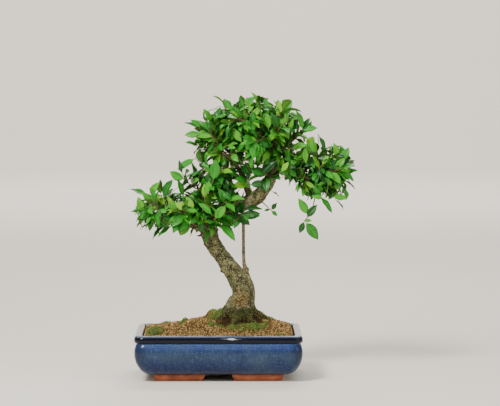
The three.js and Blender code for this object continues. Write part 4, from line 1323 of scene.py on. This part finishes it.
def placeLeaf(stem, index, k, count, rule):
    # the k-th leaf of a stem turns on by the golden angle, and swings aside until it is clear of all
    last = k == count - 1
    t = 1 if last else mix(max(rule["first"], stem["start"] + 0.08), 0.97, k / (count - 1))
    heading = stemDirection(stem, t)
    root = axisPoint(stem, t)
    side = unit(np.cross(heading, up if abs(heading[2]) < 0.95 else np.array([1.0, 0, 0])))
    other = np.cross(heading, side)
    length = mix(*rule["length"], draw()) * (0.9 if last else 1)
    droop = foliage["droop"] * (0.6 + 0.8 * draw())
    tilt = chanceStep() * foliage["tilt"]
    outward = root - stem["centre"]
    outward = outward / max(np.linalg.norm(outward), 1e-9)
    sky = up * foliage["upward"] + outward * rule["outward"] + tilt
    among = placesNear(root - length, root + length)
    every = rule["every"]
    for attempt in range(foliage["leafTries"]):
        swing = math.ceil(attempt / 2) * (1 if attempt % 2 else -1) * foliage["swing"]
        turn = k * goldenAngle + index + swing
        opened = 0.15 + 0.12 * attempt if last else mix(*foliage["opened"], t) + 0.12 * (attempt % 3)
        direction = unit(
            heading * math.cos(opened)
            + side * (math.sin(opened) * math.cos(turn))
            + other * (math.sin(opened) * math.sin(turn))
        )
        blade = bladeFrom(root, direction, sky, length * (0.85 if attempt > 6 else 1), droop)
        if isClear(leafTestPoints(blade)[::every], index, testShare[::every] < 0.3, rule["ease"], among):
            return blade
    return None


def takeLeaf(blade, index, clear, every=1):
    take(leafTestPoints(blade)[::every], clear, index, testShare[::every] < 0.3)


def growFoliage():
    # takes the room of the wood, then grows the stems, then a leaf at a time on each
    t = np.arange(121) / 120
    aerialReach = routeRadius(wood["aerialRoot"], t) + foliage["woodClear"]
    take(curveThrough(wood["aerialRoot"], t), aerialReach, -1, False)
    take(limbPoints, limbReach, -1, False)
    stems = growStems()
    for index, stem in enumerate(stems):
        stem["blades"] = []
        if isinstance(stem["leaves"], list):
            for t, towards, length in stem["leaves"]:
                direction = unit(np.array(towards, float))
                blade = bladeFrom(axisPoint(stem, t), direction, np.array([0, -1, 0.4]), length, 0.4)
                blade["tone"] = 0.35 + 0.25 * math.sin(9 * t + length)
                takeLeaf(blade, index, foliage["leafClear"])
                stem["blades"].append(blade)
    for index, stem in enumerate(stems):
        if isinstance(stem["leaves"], list):
            continue
        for k in range(stem["leaves"]):
            blade = placeLeaf(stem, index, k, stem["leaves"], foliage["rule"])
            if blade:
                if stem["name"] in foliage["shaded"]:
                    blade["tone"] = foliage["shaded"][stem["name"]] + 0.05 * k
                takeLeaf(blade, index, foliage["leafClear"])
                stem["blades"].append(blade)
    return stems


stems = growFoliage()
print(len(stems), "stems with", sum(len(stem["blades"]) for stem in stems), "leaves have grown")

filling = {
    "seed": 41,
    # pad, middle, reach, twigs, how low they go, phase
    "clumps": [
        ("low_pad", (-50, -6, 257), (80, 50, 29), 72, 0.6, 0.9),
        ("middle", (-4, -6, 306), (56, 36, 30), 46, 0.9, 0.2),
        ("crown", (50, 0, 376), (86, 62, 54), 150, 0.8, 2.1),
        ("right_pad", (160, -4, 322), (47, 40, 35), 60, 0.9, 1.3),
        ("right_pad", (112, -8, 338), (26, 26, 18), 26, 0.8, 0.4),
        ("right_pad", (152, -8, 300), (28, 22, 10), 16, 0.8, 1.9),
    ],
    # places where light shows through the foliage from the front: across, up and half width in mm
    "clearings": [
        (36, 290, 9), (34, 303, 8), (57, 344, 5), (-44, 316, 12), (-27, 308, 8), (-40, 299, 8),
        (-73, 292, 7), (-100, 270, 7), (-89, 254, 5), (140, 320, 5), (42, 338, 5), (114, 360, 14),
        (128, 364, 9), (128, 274, 10), (149, 268, 8), (152, 356, 9), (4, 303, 4), (0, 436, 16),
        (22, 434, 10), (107, 430, 9),
    ],
    "twig": (10, 34),  # length in mm, shortest and longest
    "hollow": 0.35,  # share of a clump's reach within which no twig ends
    # what counts against a place for a twig's root, as mm more: that it lies further out, or too near
    "outwardCost": 25,
    "nearCost": 40,
    "leaves": (3, 7),  # fewest on a twig, and mm of twig for each one more
    "rule": {"length": (14, 27), "ease": 0.5, "first": 0.2, "outward": 0.35, "every": 3},
    "clear": 2.2,
    "countFrom": 2000,
}

# Leaves that stand out from the front: where each begins and ends, across and up in mm, how wide it looks,
# its depth, and its tone from dark to light, which is the leaf's own green with painted light and shade in
# it
placedLeaves = {
    "crown": [
        (62, 422, 54, 448, 7, -8, 0.9), (44, 427, 57, 439, 8, -12, 0.5), (37, 414, 36, 436, 9, -16, 0.5),
        (30, 408, 13, 427, 13, -20, 0.5), (-8, 395, -21, 422, 9, -10, 0.65),
        (0, 386, -3, 416, 12, -24, 0.4), (-25, 391, -44, 402, 11, -6, 0.5),
        (-34, 389, -52, 400, 5, 4, 0.3), (-30, 381, -53, 378, 13, -22, 0.6),
        (-11, 378, -33, 384, 11, -28, 0.6), (-33, 361, -52, 370, 6, -8, 0.5),
        (52, 416, 55, 380, 15, -52, 0.38), (51, 405, 65, 424, 11, -34, 0.85),
        (35, 369, 22, 391, 13, -50, 0.68), (33, 399, 18, 422, 12, -30, 0.45),
        (74, 413, 73, 436, 12, -14, 0.5), (90, 414, 74, 424, 10, -24, 0.22),
        (77, 389, 76, 413, 12, -44, 0.7), (96, 411, 95, 432, 10, -16, 1.0),
        (102, 414, 115, 430, 11, -10, 0.6), (110, 377, 113, 406, 9, -26, 0.75),
        (101, 395, 112, 373, 9, -34, 0.7), (131, 388, 124, 419, 11, -6, 0.55),
        (131, 386, 141, 406, 8, 6, 0.25), (131, 384, 154, 392, 9, -4, 0.5),
        (123, 392, 113, 414, 9, 4, 0.25), (121, 377, 135, 384, 8, -2, 0.2),
        (101, 358, 128, 367, 4, -4, 0.5),
    ],
    "right_pad": [
        (137, 364, 150, 375, 13, -14, 1.1), (157, 376, 170, 354, 6, -6, 0.25),
        (134, 359, 137, 335, 11, -38, 0.7), (154, 342, 145, 355, 8, -26, 0.15),
        (156, 328, 148, 350, 8, -40, 0.8), (161, 334, 170, 347, 9, -44, 1.0),
        (186, 342, 182, 367, 10, -16, 0.75), (192, 339, 203, 359, 13, -20, 0.5),
        (181, 326, 197, 344, 12, -34, 0.65), (186, 320, 213, 326, 10, -18, 0.38),
        (183, 317, 187, 294, 15, -34, 0.38), (197, 307, 216, 296, 3, -8, 0.2),
        (148, 298, 134, 307, 9, -40, 0.8), (162, 281, 145, 285, 8, -30, 0.6),
        (159, 281, 180, 260, 8, -28, 0.35), (179, 282, 200, 282, 9, -26, 0.6),
        (123, 320, 128, 295, 6, -20, 0.25), (98, 323, 109, 337, 10, -34, 0.9),
        (121, 337, 102, 351, 9, -20, 0.25), (93, 331, 91, 354, 8, -30, 0.5),
        (121, 314, 109, 326, 10, -24, 0.4), (196, 345, 190, 362, 9, -8, 0.55),
        (104, 316, 94, 328, 9, -30, 0.35), (184, 276, 198, 263, 2.5, -20, 0.2),
    ],
    "middle": [
        (90, 339, 63, 320, 13, -40, 0.04), (50, 302, 75, 305, 14, -36, 0.1),
        (33, 332, 52, 315, 9, -30, 0.25), (51, 336, 58, 320, 6, -18, 0.6),
        (-8, 311, -3, 342, 20, -50, 0.42), (-39, 340, -67, 328, 8, -10, 0.5),
        (-30, 322, -58, 314, 3, -8, 0.3), (-25, 326, -39, 303, 7, -14, 0.15),
    ],
    "low_pad": [
        (-61, 301, -67, 318, 6, -6, 0.45), (-56, 285, -61, 309, 10, -12, 0.4),
        (-20, 288, -12, 312, 11, -40, 0.6), (-111, 282, -136, 298, 7, -4, 0.4),
        (-107, 287, -93, 306, 11, -14, 0.68), (-98, 279, -106, 298, 9, -26, 0.5),
        (-104, 276, -119, 291, 9, -18, 0.6), (-86, 282, -75, 311, 10, -10, 0.3),
        (-118, 260, -126, 282, 13, -14, 0.75), (-100, 254, -123, 254, 9, -12, 0.25),
        (-100, 243, -126, 235, 3, -10, 0.35), (-85, 237, -107, 219, 5, -20, 0.15),
        (-74, 237, -97, 224, 7, -26, 0.5), (-45, 243, -64, 229, 8, -30, 0.25),
        (-64, 263, -78, 276, 14, -46, 0.62), (-50, 266, -67, 274, 13, -52, 0.95),
        (-39, 266, -50, 284, 12, -48, 0.85), (-11, 257, -30, 276, 12, -48, 0.55),
        (-5, 251, 11, 271, 14, -52, 0.58), (2, 240, 29, 217, 13, -30, 0.5),
        (38, 255, 65, 257, 14, -34, 0.08), (35, 263, 68, 270, 4, -26, 0.1),
        (24, 248, 30, 273, 10, -36, 0.03), (84, 290, 96, 284, 3, -16, 0.15),
        (-36, 237, -47, 222, 2.5, -20, 0.3),
    ],
}
placed = {
    "clear": 2.4,
    "countFrom": 1000,  # number that its twigs go by where room is taken, after which they are counted
    "droop": 0.35,
    "narrowest": 0.22,  # half width of a leaf as a share of its length
    "stalk": 0.13,  # share of the given length by which the stalk starts further back
    "lean": 0.18,  # how far a tip comes forward, as a share of its length
}


def bearers(stems, pad):
    # places that may bear a twig of a pad: along its stems, and along the limbs that carry it
    samples = np.linspace(0.15, 1, 12)
    own = [k for k, stem in enumerate(stems) if stem["name"].startswith((pad, "front"))]
    points = np.concatenate([stemPoint(stems[k], mix(stems[k]["start"], 1, samples)) for k in own])
    owner = np.repeat(own, len(samples))
    limbs = limbPoints[np.isin(limbNames, foliage["limbs"][pad]) & (limbAlong > 0.15)]
    nearest = apart(limbs[:, None], points).argmin(1)
    return np.concatenate([points, limbs]), np.concatenate([owner, owner[nearest]])


def addTwig(stems, owner, root, tip, centre):
    length = float(np.linalg.norm(tip - root))
    bend = root + (tip - root) * 0.5 - up * 0.12 * length + chanceStep() * 0.15 * length
    twig = {"root": root, "bend": bend, "tip": tip, "centre": centre, "start": 0.0, "blades": []}
    stems[owner].setdefault("twigs", []).append(twig)
    return twig


def placeByHand(stems):
    # a leaf that looks narrower than it is has turned about its own length: its face swings from the front
    # towards the sky by the angle whose cosine is the width that shows over the real one
    index = placed["countFrom"]
    for pad, leaves in placedLeaves.items():
        points, owner = bearers(stems, pad)
        centre = np.array(padCentres[pad], float)
        for baseX, baseZ, tipX, tipZ, width, depth, tone in leaves:
            reach = np.array([tipX - baseX, 0, tipZ - baseZ], float)
            root = np.array([baseX, depth, baseZ], float) - reach * placed["stalk"]
            length = float(np.linalg.norm(reach)) * (1 + placed["stalk"])
            direction = unit(reach - [0, placed["lean"] * length, 0])
            half = max(width / 2, placed["narrowest"] * length)
            front = unit(np.array([0, -1.0, 0]) + direction * direction[1])
            sky = np.cross(direction, front)
            sky = sky if sky[2] > 0 else -sky
            turn = math.acos(min(1, width / 2 / half))
            facing = front * math.cos(turn) + sky * math.sin(turn)
            blade = bladeFrom(root, direction, facing, length, placed["droop"])
            # the given tone carries painted light and shade along with the leaf's own green
            blade.update(halfWidth=half, tone=tone)
            index += 1
            best = apart(points, root).argmin()
            takeLeaf(blade, index, placed["clear"])
            addTwig(stems, owner[best], points[best], root, centre)["blades"].append(blade)


def growFilling(stems):
    # twigs towards places spread through each clump by the golden angle, each from the nearest wood of its
    # pad that lies further in, with leaves all along, except where light shows through
    clearings = np.array(filling["clearings"], float)
    shortest, longest = filling["twig"]
    fewest, apiece = filling["leaves"]
    hollow = filling["hollow"]

    def shows(place):
        return (np.hypot(place[0] - clearings[:, 0], place[2] - clearings[:, 1]) < clearings[:, 2]).any()

    index = filling["countFrom"]
    for pad, centre, reach, count, lowEnd, phase in filling["clumps"]:
        centre = np.array(centre, float)
        points, owner = bearers(stems, pad)
        for k in range(count):
            offset = onSpiral(k, count, lowEnd, phase) * reach
            tip = centre + offset * (hollow + (1 - hollow) * math.sqrt(draw()))
            distance = apart(points, tip)
            inward = ((tip - points) * unit(offset)).sum(1)
            cost = distance + np.where(inward > 0, 0, filling["outwardCost"])
            cost = cost + np.where(distance < shortest, filling["nearCost"], 0)
            best = cost.argmin()
            root, length = points[best], min(distance[best], longest)
            tip = root + (tip - root) * (length / distance[best])
            if shows(tip):
                continue
            twig = addTwig(stems, owner[best], root, tip, centre)
            index += 1
            leaves = fewest + round(length / apiece)
            for j in range(leaves):
                blade = placeLeaf(twig, index, j, leaves, filling["rule"])
                if blade and not shows(blade["root"] + blade["direction"] * blade["length"] * 0.6):
                    takeLeaf(blade, index, filling["clear"], filling["rule"]["every"])
                    twig["blades"].append(blade)
            if not twig["blades"]:
                stems[owner[best]]["twigs"].pop()


padCentres = {name: centre for name, centre, *_ in foliage["pads"]}
draw = seededDraws(filling["seed"])
placeByHand(stems)
growFilling(stems)
smaller = sum(len(twig["blades"]) for stem in stems for twig in stem.get("twigs", []))
print(smaller, "smaller leaves between them")

leaf = {
    "petiole": 0.13,  # share of a leaf's length
    "petioleRadius": 0.5,
    "thinnest": 0.25,  # half width at the tip
    "waves": 2.2,  # along the edge
    "thick": 0.36,
    "along": 10,  # rings of the blade
    "across": 6,  # faces over its width
    "fold": (0.06, 0.45),  # how steeply the two halves rise from the midrib
    "wave": 0.5,  # height of the waved edge
    "broad": (0.82, 1.04),  # how broad next to the growth rule's leaf
    "twist": 0.35,  # radians from root to tip
    "rib": 0.3,  # groove above and ridge below along the midrib
    # rings, sides, radius at root and tip, and how green the tip is
    "stemTube": (12, 6, (1.15, 0.65), 0.5),
    "twigTube": (7, 5, (0.75, 0.45), 0.9),
    "seed": 77,
    # name, roughness, colours from a shaded old leaf to a young one, strength and relief of the veins
    "sides": [
        (
            "waxedLeafTop",
            0.34,
            [(0, "#0d3a12"), (0.28, "#1d661c"), (0.52, "#349424"), (0.75, "#57a324"), (1, "#86be2c")],
            0.16,
            -0.35,
        ),
        ("paleLeafUnderside", 0.55, [(0, "#28601f"), (1, "#5e9436")], 0.5, 0.35),
    ],
    "tone": (0.14, 0.32, 0.22),  # in the middle of a pad, where it paints shade, more towards its outside, and by chance
    "padReach": (80, 60, 45),  # mm across, deep and up from the middle to the outside
    "young": (0.35, 0.08),  # how much lighter a young leaf is, and the share of leaves that are young
    "vein": "#93c45c",
    "twig": [(0.2, "#5c4630"), (0.85, "#7f8a3c")],
}


def leafMeshes(blades, chance):
    # each leaf is a closed section carried along its bent midrib: a round stalk, then a blade whose half
    # width is sin(pi q ^ 0.84) ^ 0.88, drawn in to a point; its halves rise from the midrib, its edge
    # waves, and the whole twists a little
    count = len(blades)
    names = "root", "direction", "face", "side", "length", "halfWidth", "droop"
    columns = (np.array([blade[name] for blade in blades]) for name in names)
    root, direction, face, side, length, half, droop = columns
    half = half * chance.uniform(*leaf["broad"], count)
    q = np.linspace(0, 1, leaf["along"] + 1)[1:] ** 0.93
    petiole = leaf["petiole"]
    s = np.concatenate([[0, 0.5 * petiole, petiole], petiole + (1 - petiole) * q])
    width = np.sin(np.pi * np.clip(q, 0, 0.995) ** 0.84) ** 0.88 * (1 - 0.2 * q**9)
    width = np.concatenate([[0, 0, 0], width])
    stalk = np.arange(len(s)) < 3
    top = np.linspace(-1, 1, leaf["across"] + 1)
    across = np.concatenate([top, top[1:-1][::-1]])
    above = np.concatenate([np.ones(len(top)), -np.ones(len(top) - 2)])
    above[[0, leaf["across"]]] = 0

    wide = np.where(stalk, leaf["petioleRadius"], 0) + width * half[:, None]
    wide = np.maximum(wide, leaf["thinnest"])[..., None]
    bent = (droop[:, None] * s[None])[..., None]
    span = length[:, None, None]
    forward = span * np.sin(bent) / droop[:, None, None]
    down = span * (1 - np.cos(bent)) / droop[:, None, None]
    fold = chance.uniform(*leaf["fold"], (count, 1, 1))
    phase = chance.uniform(0, 6.28, (count, 1, 1)) + 6.28 * leaf["waves"] * s[None, :, None]
    twist = chance.uniform(-1, 1, (count, 1)) * leaf["twist"] * s[None]
    flat = across[None, None]
    onBlade = np.where(stalk, 0.0, 1.0)[None, :, None]
    lift = fold * np.abs(flat) * wide * onBlade
    lift = lift + leaf["wave"] * np.sin(phase + 2 * np.sign(flat)) * flat**2 * onBlade
    ribbed = leaf["rib"] * np.exp(-((flat * wide / 0.9) ** 2)) * onBlade * (1 - s[None, :, None])
    thick = np.where(stalk, leaf["petioleRadius"], leaf["thick"] / 2)[None, :, None] * (1 - flat**4 * 0.5)
    lift = lift + above[None, None] * thick - ribbed

    normal = face[:, None] * np.cos(bent) + direction[:, None] * np.sin(bent)
    turned = side[:, None] * np.cos(twist)[..., None] + normal * np.sin(twist)[..., None]
    normal = normal * np.cos(twist)[..., None] - side[:, None] * np.sin(twist)[..., None]
    centre = root[:, None] + direction[:, None] * forward - face[:, None] * down
    rings = turned[:, :, None] * (flat * wide)[..., None] + normal[:, :, None] * lift[..., None]
    rings = rings + centre[:, :, None]

    size = len(across)
    oneQuads = ringFaces(len(s), size)
    one = closedLoft(rings[0])
    made = np.concatenate([rings.reshape(count, -1, 3), rings[:, :1].mean(2), rings[:, -1:].mean(2)], 1)
    offsets = (np.arange(count) * made.shape[1])[:, None, None]
    quads = (oneQuads[None] + offsets).reshape(-1, 4)
    caps = (one[2][None] + offsets).reshape(-1, 3)
    uv = np.stack(np.broadcast_arrays(across[None] * 0.5 + 0.5, s[:, None]), -1).reshape(-1, 2)
    uv = np.tile(np.concatenate([uv, [[0.5, 0], [0.5, 1]]]), (count, 1))
    ring, corner = np.divmod(np.arange(len(oneQuads)), size)
    finish = np.tile(np.where(ring < 2, 2, np.where(corner < leaf["across"], 0, 1)), count)
    capFinish = np.tile(np.repeat([2, 0], size), count)
    return made.reshape(-1, 3), quads, caps, uv, finish, capFinish, made.shape[1]


def leafTonesWithPaintedShade(stem, blades, chance):
    # 0 is a shaded old leaf and 1 a young one: lighter towards the outside, the top and the twig's tip, and
    # darker in the middle of a pad as painted shade
    tips = np.array([b["root"] + b["direction"] * b["length"] * 0.6 for b in blades])
    outward = np.linalg.norm((tips - stem["centre"]) / leaf["padReach"], axis=1)
    inside, outside, uneven = leaf["tone"]
    lighter, youngShare = leaf["young"]
    tone = inside + outside * np.clip(outward, 0, 1.3) + uneven * chance.normal(size=len(blades))
    tone = tone + lighter * (chance.uniform(size=len(blades)) < youngShare)
    given = np.array([b.get("tone", np.nan) for b in blades])
    return np.clip(np.where(np.isnan(given), tone, given), 0.02, 1)


def makeLeafMaterials():
    # living fig leaf: waxed and smooth above with pale veins, paler and matter below with raised veins
    materials = []
    for name, rough, ramp, strength, relief in leaf["sides"]:
        settings = {"Roughness": rough, "IOR": 1.45, "Specular IOR Level": 0.32}
        material, tree, place = startMaterial(name, settings)
        uv = addNode(tree, "UVMap", {"uv_map": "along"})
        across, along, _ = addNode(tree, "SeparateXYZ", {0: uv}).node.outputs
        tone = addNode(tree, "Attribute", {"attribute_name": "tone"}, "Fac")
        mottle = addNode(tree, "TexNoise", {"Scale": 160, "Detail": 2, "Vector": place})
        toned = addNode(tree, "Math", {"operation": "SUBTRACT", 0: tone, 1: 0.12})
        toned = addNode(tree, "Math", {"operation": "MULTIPLY_ADD", 0: mottle, 1: 0.24, 2: toned})
        colour = addNode(tree, "ValToRGB", {"ramp": ramp, "Fac": toned})
        # distance from the midrib, then nine pairs of side veins that lean forward
        off = addNode(tree, "Math", {"operation": "SUBTRACT", 0: across, 1: 0.5})
        off = addNode(tree, "Math", {"operation": "ABSOLUTE", 0: off})
        wave = addNode(tree, "Math", {"operation": "MULTIPLY_ADD", 0: off, 1: -0.45, 2: along})
        wave = addNode(tree, "Math", {"operation": "MULTIPLY", 0: wave, 1: 62.0})
        wave = addNode(tree, "Math", {"operation": "SINE", 0: wave})
        midrib = addNode(tree, "MapRange", {"From Min": 0.07, "From Max": 0.015, "Value": off})
        veins = addNode(tree, "MapRange", {"From Min": 0.9, "From Max": 1, "To Max": 0.35, "Value": wave})
        lines = addNode(tree, "Math", {"operation": "MAXIMUM", 0: midrib, 1: veins})
        colour = layOver(tree, colour, lines, leaf["vein"], (0, 1, strength))
        materials.append(finishMaterial(material, colour, (relief, 0.3, lines)))
    # young fig twig: thin brown bark that is still green towards its tip
    twig, tree, _ = startMaterial("youngTwigBark", {"Roughness": 0.6})
    return [*materials, finishMaterial(twig, toneColour(tree, leaf["twig"]))]


def makeFoliage(stems):
    materials = makeLeafMaterials()
    chance = np.random.RandomState(leaf["seed"])
    for stem in stems:
        parts, uvs, tones, finishes = [], [], [], []
        for branch in (stem, *stem.get("twigs", [])):
            steps, sides, radii, young = leaf["stemTube" if branch is stem else "twigTube"]
            t = np.linspace(0, 1, steps)
            tube = closedLoft(tubeRings(stemPoint(branch, t), mix(*radii, t), sides))
            parts.append(tube)
            uvs.append(np.zeros((len(tube[0]), 2)))
            along = np.repeat(t, sides) * young
            tones.append(np.concatenate([along, [0, along[-1]]]))
            finishes.append((np.full(len(tube[1]), 2), np.full(len(tube[2]), 2)))
            if branch["blades"]:
                points, quads, caps, uv, finish, capFinish, each = leafMeshes(branch["blades"], chance)
                parts.append((points, quads, caps))
                uvs.append(uv)
                tones.append(np.repeat(leafTonesWithPaintedShade(branch, branch["blades"], chance), each))
                finishes.append((finish, capFinish))
        points, quads, caps = joinParts(parts)
        finish = np.concatenate([f[0] for f in finishes] + [f[1] for f in finishes])
        name, uv, tone = stem["name"], np.concatenate(uvs), np.concatenate(tones)
        putMesh(name + "_leaves", points, quads, caps, materials, "foliage", [name], finish, uv, tone)


makeFoliage(stems)
print("foliage is in")
